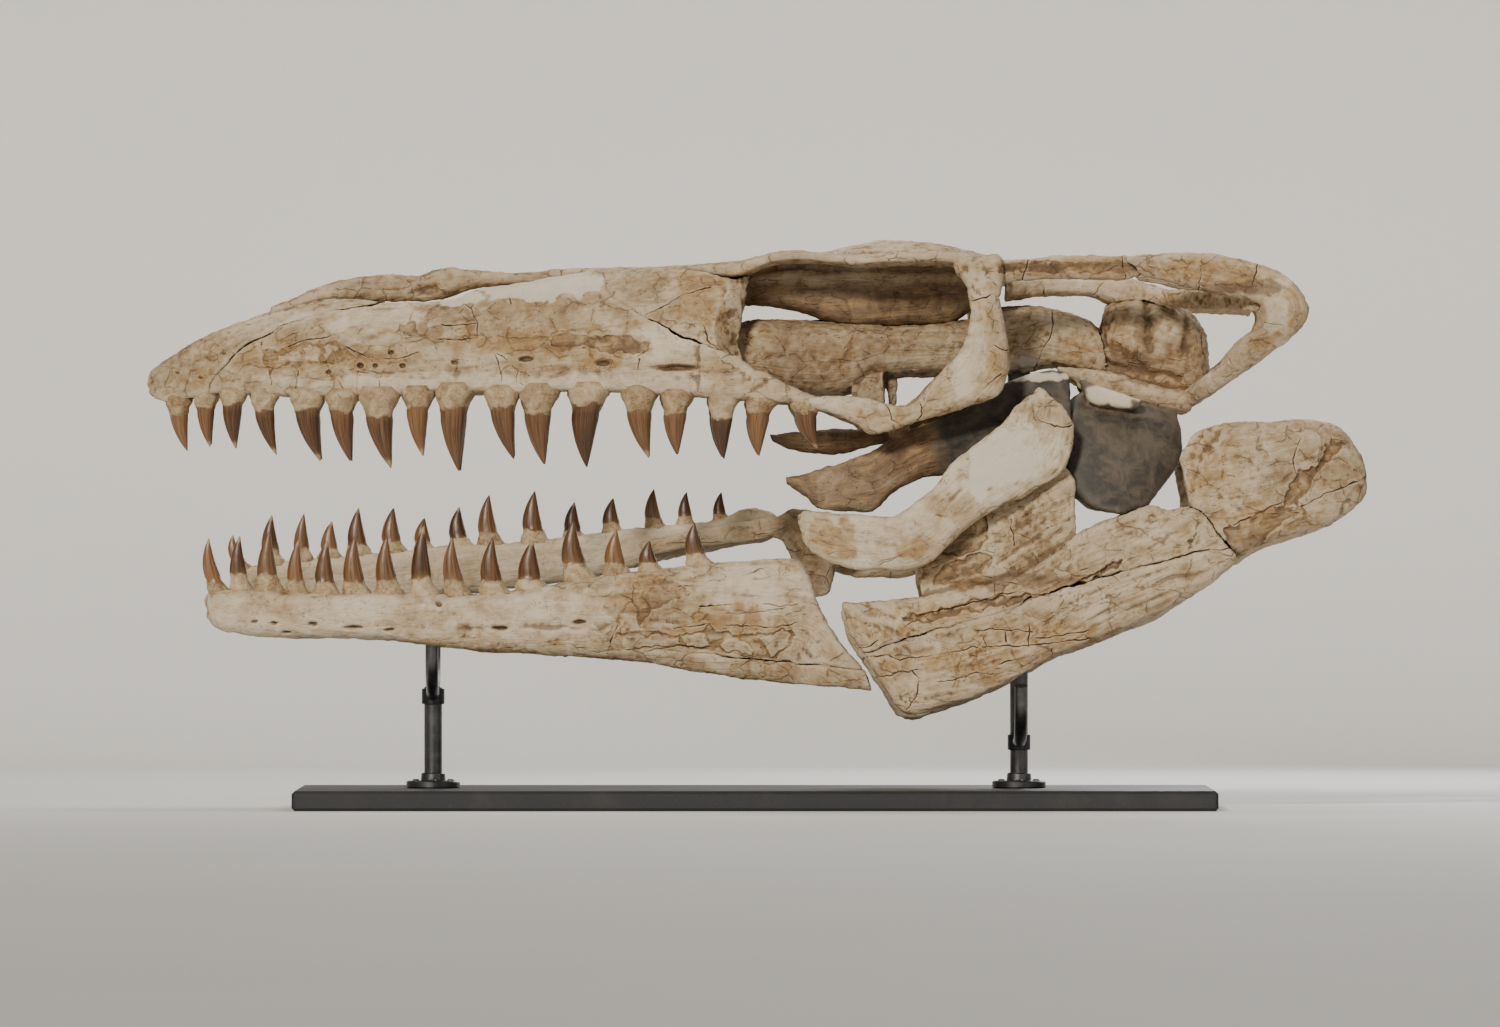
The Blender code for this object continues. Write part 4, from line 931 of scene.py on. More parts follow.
for word, side in sides:
    seed = farOnly(side, boneWork["farSeed"])
    near = side < 0
    regions = [around(premaxillaRegion), around(prefrontalRegion, seed=9)]
    shapeBone(
        "maxilla_" + word, [snoutHalf(side), bar(maxillaProcess, side)],
        regions + [offNoseBar, offPlate],
        snoutSpine, side, size=1.95, seed=seed + 51, plate=44, step=0.45, split=0.7, rough=0.22,
        lines=maxillaLines if near else maxillaLines[::2], pits=maxillaPits,
        recess=maxillaRecess if near else maxillaRecess[4:],
        sockets=socketsOf(upperTeeth, snout, 2, -2),
        whites=((-208, 524, 74, 15), (-298, 512, 30, 9)),
        fair=((-330, 428, 130, 9), (-160, 426, 150, 12), (-380, 488, 60, 12), (-100, 470, 40, 16)),
        stains=((-205, 469, 95, 15), (-395, 452, 60, 13), (-160, 455, 60, 14), (-470, 455, 40, 16)),
        troughs=((-295, 436, -60, 432, 9, 1.5), (-480, 436, -300, 434, 7, 1.0)),
    )
    shapeBone(
        "prefrontal_" + word, [kept(snoutHalf(side), prefrontalRegion, seed=9)],
        [offPlate], snoutSpine, side, seed=seed + 61, plate=38, step=0.6,
        split=0.9, rough=0.35, lines=prefrontalLines,
        stains=((-55, 524, 26, 30), (-42, 495, 20, 30)),
    )
    # along the top of the temporal bar the stains and dark patch are partly brown stain, partly
    # painted shade where the light falls off
    shapeBone(
        "postorbital_" + word, [bar(postorbitalFoot, side), bar(temporalBar, side)],
        [offPlate], spineOf(temporalBar), side, seed=seed + 71, plate=40,
        step=0.3, split=0.6, rough=0.22, lines=barCracks, size=1.55, recess=barRecess,
        fair=((215, 500, 30, 40),), stains=((330, 541, 110, 14),), dark=((330, 541, 95, 5),),
    )
    shapeBone(
        "jugal_" + word, [bar(jugal, side)],
        [clear(maxillaProcess, side), clear(postorbitalFoot, side)], spineOf(jugal), side,
        seed=seed + 81, plate=36, step=0.35, split=0.8, rough=0.25, lines=jugalCracks, size=1.55,
        stains=((193, 382, 14, 26), (240, 440, 14, 20)),
        fair=((215, 450, 26, 50), (80, 405, 50, 12)),
    )
    # along the top of the squamosal the stains and dark patch are partly brown stain, partly
    # painted shade where the light falls off
    shapeBone(
        "squamosal_" + word, [bar(squamosal, side)],
        [clear(temporalBar, side), clear(earBar, side), offBraincase],
        spineOf(squamosal), side, seed=seed + 91, plate=46, step=0.3, split=0.7, rough=0.2,
        lines=squamosalCracks, size=1.6, fair=((520, 500, 14, 50),), dark=((486, 520, 44, 7),),
        stains=((470, 536, 90, 14), (540, 505, 14, 40), (480, 470, 40, 14)),
    )
wings = [bar(parietalWing, side) for _, side in sides]
shapeBone(
    "parietal", [bar(parietalTable, power=3), *wings],
    [offPlate, clear(frontalDome, power=2), clear(squamosal, -1),
     clear(squamosal, 1), offBraincase],
    spineOf(parietalTable), seed=201, plate=30, step=0.4, split=0.7, rough=0.45,
    lines=parietalCracks, size=1.5, look="ochre", brown=0.05, stains=((455, 510, 48, 14),),
    fair=((330, 522, 60, 12),),
)
drops = [bar(palateDrop, side) for _, side in sides]
# the palate block's strong brown is partly its own colour and partly painted shade inside the orbit
shapeBone(
    "palatine_block", [bar(palateBlock, power=3), *drops, bar(palatePeg)],
    [offKeel, clear(sphenoid, power=3), offPlate,
     lambda: snoutWhole(boneWork["joint"])],
    spineOf(palateBlock), seed=211, plate=30, step=0.6, split=0.9, rough=0.6, brown=0.5,
    look="brown",
)
flat = boneWork["flat"]
for word, side in sides:
    seed = farOnly(side, boneWork["farSeed"])
    drop = farOnly(side, boneWork["slip"])
    shaft, ledge = lowered(surangular, drop), lowered(buttress, drop)
    region = [(x, z - drop) for x, z in angularRegion]
    backLines, lowLines, rearLines, frontLines = (
        [[(x, z - drop) for x, z in line] for line in lines]
        for lines in (surangularLines, angularLines, articularLines, coronoidLines)
    )
    backRecess, rearRecess = (
        [(deep, shade, [(x, z - drop) for x, z in outline]) for deep, shade, outline in places]
        for places in (surangularRecess, articularRecess)
    )
    # the surangular's dark patches are painted shade under its ledge
    shapeBone(
        "surangular_" + word, [bar(shaft, side, flat), bar(ledge, side, flat)],
        [around(region, seed=5)], spineOf(shaft), side, endWear=0.3, seed=seed + 221, plate=34,
        step=0.9, split=1.0, rough=0.4, grain=0.8, lines=backLines, recess=backRecess,
        stains=((185, 235, 40, 20), (320, 215, 60, 14), (200, 188, 60, 16)),
        dark=((250, 228, 70, 9), (180, 262, 30, 12)),
    )
    shapeBone(
        "angular_" + word, [kept(bar(shaft, side, flat), region, seed=5)], (), spineOf(shaft),
        side, endWear=0.3, seed=seed + 231, plate=40, step=0.9, split=1.1, rough=0.3, grain=0.8,
        lines=lowLines, stains=((215, 150, 70, 12), (300, 175, 60, 10)),
    )
    shapeBone(
        "articular_" + word, [bar(lowered(articular, drop), side)],
        [clear(shaft, side, flat), clear(ledge, side, flat)], spineOf(articular), side,
        seed=seed + 241, plate=42, step=0.9, split=0.9, rough=0.4, lines=rearLines,
        recess=rearRecess, stains=((450, 350, 22, 50), (520, 290, 60, 16)),
    )
    shapeBone(
        "coronoid_" + word, [bar(lowered(coronoid, drop), side, flat)],
        [clear(shaft, side, flat), clear(ledge, side, flat)], spineOf(coronoid), side,
        seed=seed + 251, plate=60, step=0.3, split=0.7, rough=0.2, grain=0.6, lines=frontLines,
        size=1.6, fair=((120, 270, 70, 40), (250, 350, 60, 60)),
        whites=((240, 350, 46, 30),), stains=((75, 270, 22, 24), (160, 262, 24, 12)),
    )
body = cutBy(bar(dentary), prism(splenialRegion, boneWork["joint"], seed=7), "DIFFERENCE")
shapeBone(
    "dentary_left", [body], [clear(surangular, power=flat)], spineOf(dentary), seed=261,
    plate=48, step=0.4, split=0.8, rough=0.25, grain=0.5, lines=dentaryLines, pits=dentaryPits,
    recess=dentaryRecess, sockets=socketsOf(lowerTeeth, dentary, 1, 2),
    fair=((-400, 190, 210, 34), (-230, 190, 110, 26), (0, 220, 60, 30)),
    stains=((-30, 180, 60, 30), (-110, 215, 26, 26), (-300, 162, 60, 10)),
    troughs=((-290, 181, -150, 184, 4, 1.6),),
)
shapeBone(
    "splenial_left", [kept(bar(dentary), splenialRegion, seed=7, spread=1.2)],
    [clear(surangular, power=flat)], spineOf(dentary), seed=271, plate=40, step=0.5, split=0.9,
    rough=0.25, size=1.5,
)
shapeBone(
    "dentary_right", [bar(dentaryRight)], spine=spineOf(dentaryRight), side=-1, seed=361,
    plate=46, step=0.4, split=0.8, rough=0.22,
    sockets=socketsOf(lowerTeethRight, dentaryRight, 1, 2),
    fair=((-300, 235, 260, 60), (-60, 272, 130, 34)),
)
shapeBone(
    "splenial_right", [bar(splenialRight)],
    [clear(dentaryRight), clear(lowered(coronoid, boneWork["slip"]), 1, flat)],
    spineOf(splenialRight), side=-1, seed=371, plate=30, step=0.4, split=0.8, rough=0.35,
    size=1.55, brown=0.25,
)
for word, side in sides:
    seed = farOnly(side, boneWork["farSeed"])
    drop = farOnly(side, boneWork["slip"])
    backJaw = [
        clear(lowered(rows, drop), side, flat)
        for rows in (surangular, buttress, coronoid, articular)
    ]
    # the quadrates: grey cast, painted dark as shade behind the jaw
    shapeBone(
        "quadrate_" + word, [bar(quadrate, side), bar(earFragment, side)],
        [clear(earBar, side), clear(squamosal, side), offBraincase, *backJaw],
        spineOf(quadrate), side, endWear=0.3, seed=seed + 281, plate=60, step=0.15, split=0.15,
        rough=0.12, grain=0.08, look="grey", whites=((356, 415, 30, 13),) if side < 0 else (),
        greyPast=-900,  # all of it
    )
    blade = pterygoidLeft if side < 0 else pterygoidRight
    bend = ((143, -86, 376), (145, -108, 386), (147, -132, 396))
    strut = [(x, -side * y, z) for x, y, z in bend]
    # the pterygoid's deep brown, and its dark grey past x 178, are partly painted shade beneath the
    # jugal
    shapeBone(
        "pterygoid_" + word, [bar(blade), rod(strut, 9)],
        [clear(quadrate, side), clear(jugal, side)], spineOf(blade), side, seed=seed + 291,
        plate=34, step=0.3, split=0.6, rough=0.3, size=1.5, brown=0.9, fair=((120, 356, 50, 5),),
        whites=((278, 432, 32, 6),) if side < 0 else (), greyPast=178,
    )
print("bones shaped:", len(roughBones))


def nearMarks(side, work):
    # Distance in the side view to the nearest crack, pit or edge of a recess, on the outer half.
    def distance(points):
        best = np.full(len(points), 99.0)
        for line in work.get("lines", ()):
            best = np.minimum(best, lineDistance(points, line))
        for _, _, outline in work.get("recess", ()):
            best = np.minimum(best, lineDistance(points, (*outline, outline[0])))
        for x, z, a, b, _ in work.get("pits", ()):
            gap = np.hypot((points[:, 0] - x) / a, (points[:, 2] - z) / b)
            best = np.minimum(best, np.maximum(gap - 1.6, 0) * min(a, b))
        return best + 99.0 * (side * points[:, 1] < side * points[:, 1].mean() - 4)

    return distance


for surface, _, side, work in roughBones.values():
    for reach in boneWork["fineReach"] if side < 0 else ():
        surface.refine(nearMarks(side, work), reach)
refined = sum(len(surface.mesh.polygons) for surface, *_ in roughBones.values())
print("bones refined:", refined, "faces")


# Carving

carveWork = {
    "swell": 1.2,  # slow rise and fall of the surface, mm
    "swellSize": 74,
    "lumps": 0.55,
    "lumpSize": 22,
    "rough": 0.3,  # the finest unevenness, where a bone sets none
    "roughSize": 6.5,
    "grain": 0.28,  # depth of the fibres along a bone, where it sets none
    "grainWarp": (8, 2.5, 2.5),  # how far the fibres waver, mm
    "coarseGrain": (90, 12, 12),
    "edgeWear": 0.9,  # raggedness of a bone's edges
    "edgeSize": 8,
    "bend": 5.5,  # how far the joints of broken plates waver, mm
    "bendSize": 15,
    "stretch": (0.45, 1, 1),  # plates are longer than wide
    "smallStretch": (0.6, 1, 1),
    "smallPlate": 0.34,  # crumbs against plates
    "jitter": 1.3,  # how far the cracks of the photo waver, mm
    "jitterSize": 9,
    "crackWidth": 0.42,
    "crackDepth": 1.9,
    "socketRise": 1.9,  # the bulge over a tooth, mm
    "socketReach": (0.42, 13),  # along the jaw against a tooth's width, and up it in mm
    "seamDepth": 0.4,
    "endReach": 9,  # how far from a bone's ends chips are broken off, mm
    "chips": 2.6,  # how deep they are, where a bone sets none
    "chipSize": 11,
    "hollowRounds": 8,  # how wide a hollow is measured, in steps from point to point
}


def alongSpine(points, spine):
    # Place along a bone, offset across it in the side view, and offset in depth, all in mm.
    rows = smoothRows(spine, 4)
    flat = points[:, (0, 2)]
    best = np.full(len(points), 1e9)
    length = np.zeros(len(points))
    across = np.zeros(len(points))
    run = 0.0
    for a, b in zip(rows[:-1, :2], rows[1:, :2]):
        step = b - a
        size = np.hypot(*step)
        away = flat - a
        t = np.clip((away @ step) / size**2, 0, 1)
        gap = np.hypot(*(away - t[:, None] * step).T)
        closer = gap < best
        best = np.where(closer, gap, best)
        length = np.where(closer, run + t * size, length)
        across = np.where(closer, (away[:, 0] * step[1] - away[:, 1] * step[0]) / size, across)
        run += size
    return np.column_stack([length, across, points[:, 1]])


def blobs(points, places, seed):
    # Soft ragged patches round (x, z, half length, half height) places in the side view.
    total = np.zeros(len(points))
    ragged = layers(points, 16, seed, 3) * 0.45
    for x, z, a, b in places:
        reach = np.hypot((points[:, 0] - x) / a, (points[:, 2] - z) / b)
        total = np.maximum(total, 1 - ramp(reach + ragged, 0.75, 1.15))
    return total


def neighbourGap(name, points):
    # Distance from each point to the nearest other bone, in mm, where it is within a few mm.
    reach = boneWork["seamReach"] + 1
    low, high = points.min(0) - reach, points.max(0) + reach
    gap = np.full(len(points), reach + 9)
    for other, (surface, *_) in roughBones.items():
        if other == name:
            continue
        otherLow, otherHigh = surface.low - reach, surface.high + reach
        if (otherLow > high).any() or (otherHigh < low).any():
            continue
        inside = ((points > otherLow) & (points < otherHigh)).all(1)
        for i in np.flatnonzero(inside):
            found = surface.tree.find_nearest(points[i], reach)
            if found[0] is not None:
                gap[i] = min(gap[i], found[3])
    return gap


def carve(name, surface, spine, side, work):
    # Moves the skin in and out, and keeps what each spot is marked by.
    w, p, seed = carveWork, surface.start, work["seed"]
    normals = surface.normals()
    nearSide = ramp(side * normals[:, 1], -0.25, 0.25)
    local = alongSpine(p, spine)
    warp = np.column_stack([noise(p, 30, seed + k) for k in (1, 2, 3)])
    warped = local + warp * w["grainWarp"]
    fibre = layers(warped, boneWork["grain"], seed + 4, 3)
    coarse = layers(warped, w["coarseGrain"], seed + 5, 2)
    grainShare = 0.35 + 0.65 * ramp(noise(p, 48, seed + 6), -0.5, 0.5)
    moved = w["swell"] * layers(p, w["swellSize"], seed + 7, 2)
    moved = moved + w["lumps"] * noise(p, w["lumpSize"], seed + 8)
    moved += work.get("rough", w["rough"]) * layers(p, w["roughSize"], seed + 9, 3)
    moved += work.get("grain", w["grain"]) * grainShare * (fibre + 1.3 * coarse)
    rim = 1 - np.abs(normals[:, 1])
    moved += w["edgeWear"] * rim * layers(p, w["edgeSize"], seed + 12, 3)

    # broken plates, and crumbs between them
    shift = np.column_stack([layers(p, w["bendSize"], seed + k, 3) for k in (20, 30, 40)])
    bent = p + shift * w["bend"]
    along = local + (bent - p)
    joint, value = cells(along * w["stretch"], work["plate"], seed + 50)
    broken = ramp(noise(p, 70, seed + 60), 0.0, 0.5)
    moved += work["step"] * (value - 0.5) * 2 * ramp(joint, 0, 2.5) * (0.3 + 0.7 * broken)
    thread = ramp(noise(p, 26, seed + 65), -0.2, 0.3)
    crack = (1 - ramp(joint, 0.1, 0.85)) * broken * thread * work["split"] * 0.75
    small, smallValue = cells(along * w["smallStretch"], work["plate"] * w["smallPlate"], seed + 70)
    crumbled = ramp(noise(p, 52, seed + 80), 0.3, 0.65)
    moved += work["step"] * 0.5 * (smallValue - 0.5) * ramp(small, 0, 2) * crumbled
    crack = np.maximum(crack, (1 - ramp(small, 0.1, 0.7)) * crumbled * 0.5 * work["split"])

    # the photo's own cracks
    fair = blobs(p, work.get("fair", ()), seed + 125) * nearSide
    crack *= 1 - 0.75 * fair
    shift = [layers(p, w["jitterSize"], seed + k, 2) for k in (90, 91, 92)]
    jitter = np.column_stack(shift) * w["jitter"]
    width = w["crackWidth"] * (0.85 + 0.75 * noise(p, 12, seed + 93))
    faded = 0.35 + 0.65 * ramp(noise(p, 19, seed + 94), -0.45, 0.15)
    for line in work.get("lines", ()):
        core = 1 - ramp(lineDistance(p + jitter, line), width * 0.3, width * 1.8 + 0.15)
        crack = np.maximum(crack, core * nearSide * faded)
    crack *= 1 - 0.35 * fair
    moved -= w["crackDepth"] * crack * (0.35 + 0.65 * ramp(crack, 0.5, 1))

    # sunk and raised areas, pits, troughs and the bulges over teeth
    sunk = np.zeros(len(p))
    raised = np.zeros(len(p))
    crumbs = layers(p, 5.5, seed + 95, 3)
    for deep, shade, outline in work.get("recess", ()):
        into = depthInside(p + jitter * 2.6, outline)
        inside = ramp(into, -0.5, 1.6) * nearSide
        moved -= inside * deep * (1 + 0.12 * crumbs)
        # a sunk area gets painted shade, darker inside it; a raised one is painted paler
        if shade > 0:
            sunk = np.maximum(sunk, inside * shade)
            moved += inside * 0.55 * crumbs
        else:
            raised = np.maximum(raised, inside * -shade)

    # pits are painted darker inside: painted shade in the holes
    hole = np.zeros(len(p))
    for x, z, a, b, depth in work.get("pits", ()):
        pitX, pitZ = p[:, 0] + jitter[:, 0] * 0.7 - x, p[:, 2] + jitter[:, 1] * 0.5 - z
        gap = np.hypot(pitX / a, pitZ / b)
        inside = (1 - ramp(gap, 0.45, 1.2)) * nearSide
        hole = np.maximum(hole, inside * 0.72)
        moved -= inside * depth
        moved += 0.25 * np.exp(-((gap - 1.7) ** 2) / 0.18) * nearSide
    for ax, az, bx, bz, wide, deep in work.get("troughs", ()):
        gap = lineDistance(p + jitter * 2, ((ax, az), (bx, bz)))
        moved -= deep * np.exp(-((gap / wide) ** 2)) * nearSide
    for x, z, tooth in work.get("sockets", ()):
        share, up = w["socketReach"]
        near = np.exp(-(((p[:, 0] - x) / (tooth * share)) ** 2) - ((p[:, 2] - z) / up) ** 2)
        moved += w["socketRise"] * near * np.abs(normals[:, 1])

    # plaster, seams and worn ends
    white = blobs(p, work.get("whites", ()), seed + 100) * nearSide
    moved *= 1 - 0.6 * white
    crack *= 1 - 0.85 * white
    gap = neighbourGap(name, p)
    seam = 1 - ramp(gap, 0.6, boneWork["seamReach"])
    seam *= 0.55 + 0.45 * ramp(noise(p, 24, seed + 97), -0.3, 0.3)
    moved -= w["seamDepth"] * seam
    place, last = local[:, 0], local[:, 0].max()
    ends = np.maximum(ramp(place, w["endReach"], 0), ramp(place, last - w["endReach"], last))
    chips = np.maximum(layers(p, w["chipSize"], seed + 110, 2), 0)
    moved -= work.get("endWear", w["chips"]) * ends * chips
    surface.points = p + normals * moved[:, None]
    surface.smooth(1)

    # what the finish reads; its hollow mark becomes painted shade in creases and a painted
    # highlight on edges
    hollow = surface.hollow(surface.normals(), w["hollowRounds"])
    # stains, with painted shade: sunk areas and the tops of the temporal bars are tinted darker
    # here as shade
    stain = blobs(p, work.get("stains", ()), seed + 120) * nearSide * 0.85
    patches = ramp(layers(p, 58, seed + 130, 4), 0.12, 0.85) * 0.55
    stain = np.maximum(stain, patches * (1 - 0.75 * fair)) * (1 - white)
    stain = np.maximum(stain, 0.5 * crack + 0.35 * ramp(joint, 5, 1.5) * broken)
    stain = np.maximum(stain, 0.85 * sunk) * (1 - raised)
    crack = np.maximum(crack, 0.45 * seam)
    crack = np.maximum(crack, 0.55 * hole)
    brown = np.maximum(hole, float(work.get("brown", 0)))
    brown += 0.28 * layers(p, 45, seed + 140, 3) * (brown > 0)
    # painted shade: darker towards the bottom, under the roof of the skull
    if "brownBelow" in work:
        high, low = work["brownBelow"]
        brown = np.maximum(brown, ramp(p[:, 2] + 4 * noise(p, 20, seed + 150), high, low) * 0.85)
    mottle = ramp(layers(p, 13, seed + 155, 3), -0.75, 0.45)
    brown = np.maximum(brown, 0.72 * sunk * mottle) * (1 - raised)
    # dark patches: painted shade in pockets, under ledges and along the tops of bars, and brown
    # stains
    brown = np.maximum(brown, 0.75 * blobs(p, work.get("dark", ()), seed + 128) * nearSide)
    grey = np.zeros(len(p))
    if "greyPast" in work:
        place = p[:, 0] + 10 * layers(p, 24, seed + 160, 2)
        grey = ramp(place, work["greyPast"] - 15, work["greyPast"] + 20)
        grey *= 1 - white
    marks = [crack, stain, white, np.clip(0.5 + hollow * 0.9, 0, 1)]
    tints = [np.clip(brown, 0, 1), grey, value, np.maximum(fair, raised)]
    paintMesh(surface.mesh, "marks", np.column_stack(marks))
    paintMesh(surface.mesh, "tints", np.column_stack(tints))
    arrowMesh(surface.mesh, "grain", local * mm)
    surface.write()


# Materials

class Flow:
    # Wraps a socket, so that node maths reads as an expression.

    def __init__(self, tree, socket):
        self.tree, self.socket = tree, socket

    def math(self, operation, *others):
        return self.tree.make("ShaderNodeMath", {"operation": operation}, self, *others)

    def __add__(self, other):
        return self.math("ADD", other)

    def __mul__(self, other):
        return self.math("MULTIPLY", other)

    def __sub__(self, other):
        return self.math("SUBTRACT", other)

    def __rsub__(self, other):
        return self.tree.make("ShaderNodeMath", {"operation": "SUBTRACT"}, other, self)

    __radd__, __rmul__ = __add__, __mul__

    def clamped(self):
        # Held between 0 and 1.
        settings = {"operation": "ADD", "use_clamp": True}
        return self.tree.make("ShaderNodeMath", settings, self, 0.0)

    def ramp(self, low, high):
        # 0 at low and 1 at high, smooth between.
        settings = {"interpolation_type": "SMOOTHSTEP"}
        return self.tree.make("ShaderNodeMapRange", settings, self, low, high, 0.0, 1.0)


class Finish:
    # One material's node tree.

    def __init__(self, name):
        self.material = bpy.data.materials.new(name)
        self.material.use_nodes = True
        self.nodes, self.links = self.material.node_tree.nodes, self.material.node_tree.links
        self.shader = self.nodes["Principled BSDF"]

    def make(self, kind, settings=None, *values, out=0, **named):
        # A node, its sockets fed in order or by name, and one of its outputs.
        node = self.nodes.new(kind)
        for key, value in (settings or {}).items():
            setattr(node, key, value)
        for key, value in [*enumerate(values), *named.items()]:
            socket = node.inputs[key if isinstance(key, int) else key.replace("_", " ")]
            self.feed(socket, value)
        return Flow(self, node.outputs[out])

    def feed(self, socket, value):
        # Links a flow, and sets anything else.
        if isinstance(value, Flow):
            self.links.new(value.socket, socket)
        elif isinstance(value, tuple) and socket.type == "RGBA":
            socket.default_value = (*value[:3], 1.0)
        else:
            socket.default_value = value

    def stops(self, flow, *pairs):
        # A colour ramp through (place, colour) pairs.
        node = self.nodes.new("ShaderNodeValToRGB")
        ramps = node.color_ramp.elements
        for i, (place, colour) in enumerate(pairs):
            stop = ramps[i] if i < 2 else ramps.new(place)
            stop.position, stop.color = place, (*colour, 1.0)
        self.links.new(flow.socket, node.inputs[0])
        return Flow(self, node.outputs[0])

    def mix(self, share, first, second, blend="MIX"):
        node = self.nodes.new("ShaderNodeMix")
        node.data_type, node.blend_type = "RGBA", blend
        for index, value in ((0, share), (6, first), (7, second)):
            self.feed(node.inputs[index], value)
        return Flow(self, node.outputs[2])

    def noise(self, place, scale, detail=3.0, rough=0.55, bend=0.0):
        return self.make("ShaderNodeTexNoise", None, Vector=place, Scale=float(scale),
                         Detail=float(detail), Roughness=rough, Distortion=bend)

    def cracks(self, place, scale):
        settings = {"feature": "DISTANCE_TO_EDGE"}
        return self.make("ShaderNodeTexVoronoi", settings, Vector=place, Scale=float(scale))

    def spots(self, place, scale):
        return self.make("ShaderNodeTexVoronoi", None, Vector=place, Scale=float(scale))

    def stretched(self, place, scale):
        return self.make("ShaderNodeMapping", None, Vector=place, Scale=scale)

    def moved(self, place, share, amount):
        # A place pushed about by a noise's colour, so that patterns waver.
        kind = "ShaderNodeVectorMath"
        shift = self.make(kind, {"operation": "SUBTRACT"}, share, (0.5, 0.5, 0.5))
        scaled = self.make(kind, {"operation": "SCALE"}, shift, Scale=amount)
        return self.make(kind, {"operation": "ADD"}, place, scaled)

    def attribute(self, name, out="Color"):
        node = self.nodes.new("ShaderNodeAttribute")
        node.attribute_name = name
        return Flow(self, node.outputs[out])

    def channels(self, name):
        # A painted colour's four numbers.
        colour = self.attribute(name)
        split = self.nodes.new("ShaderNodeSeparateColor")
        self.links.new(colour.socket, split.inputs[0])
        return [Flow(self, split.outputs[k]) for k in range(3)] + [self.attribute(name, "Alpha")]

    def bump(self, height, strength, distance):
        sockets = {"Height": height, "Strength": strength, "Distance": distance}
        return self.make("ShaderNodeBump", None, **sockets)

    def put(self, **sockets):
        # Feeds the shader's own sockets.
        for key, value in sockets.items():
            self.feed(self.shader.inputs[key.replace("_", " ")], value)
        return self.material


boneLook = {
    "pale": (0.50, 0.385, 0.242),
    # cream is also the painted highlight on edges
    "cream": (0.66, 0.55, 0.405),
    "tan": (0.31, 0.205, 0.105),
    "ochre": (0.35, 0.205, 0.070),
    "rust": (0.22, 0.108, 0.038),
    # brown is also the painted shade in hollows and creases
    "brown": (0.078, 0.041, 0.018),
    "umber": (0.165, 0.093, 0.041),
    "crack": (0.062, 0.032, 0.014),
    "plaster": (0.62, 0.585, 0.52),
    # the grey cast's colours, made very dark as painted shade
    "greyLight": (0.098, 0.074, 0.050),
    "greyDark": (0.026, 0.019, 0.012),
    "bumpStrength": 1.0,
    "bumpDistance": 0.0020,
    "broadScale": 13,  # repeats a metre, as all scales here
    "patchScale": 48,
    "fineScale": 380,
    "speckScale": 90,
    "waverScale": 55.0,
    "waver": 0.012,  # how far hair cracks waver, m
    "fibreScale": (38, 520, 520),  # along the bone and across it
    "streakScale": (16, 150, 150),
    "hairScale": (30, 46, 46),
    "poreScale": (300, 560, 560),
}


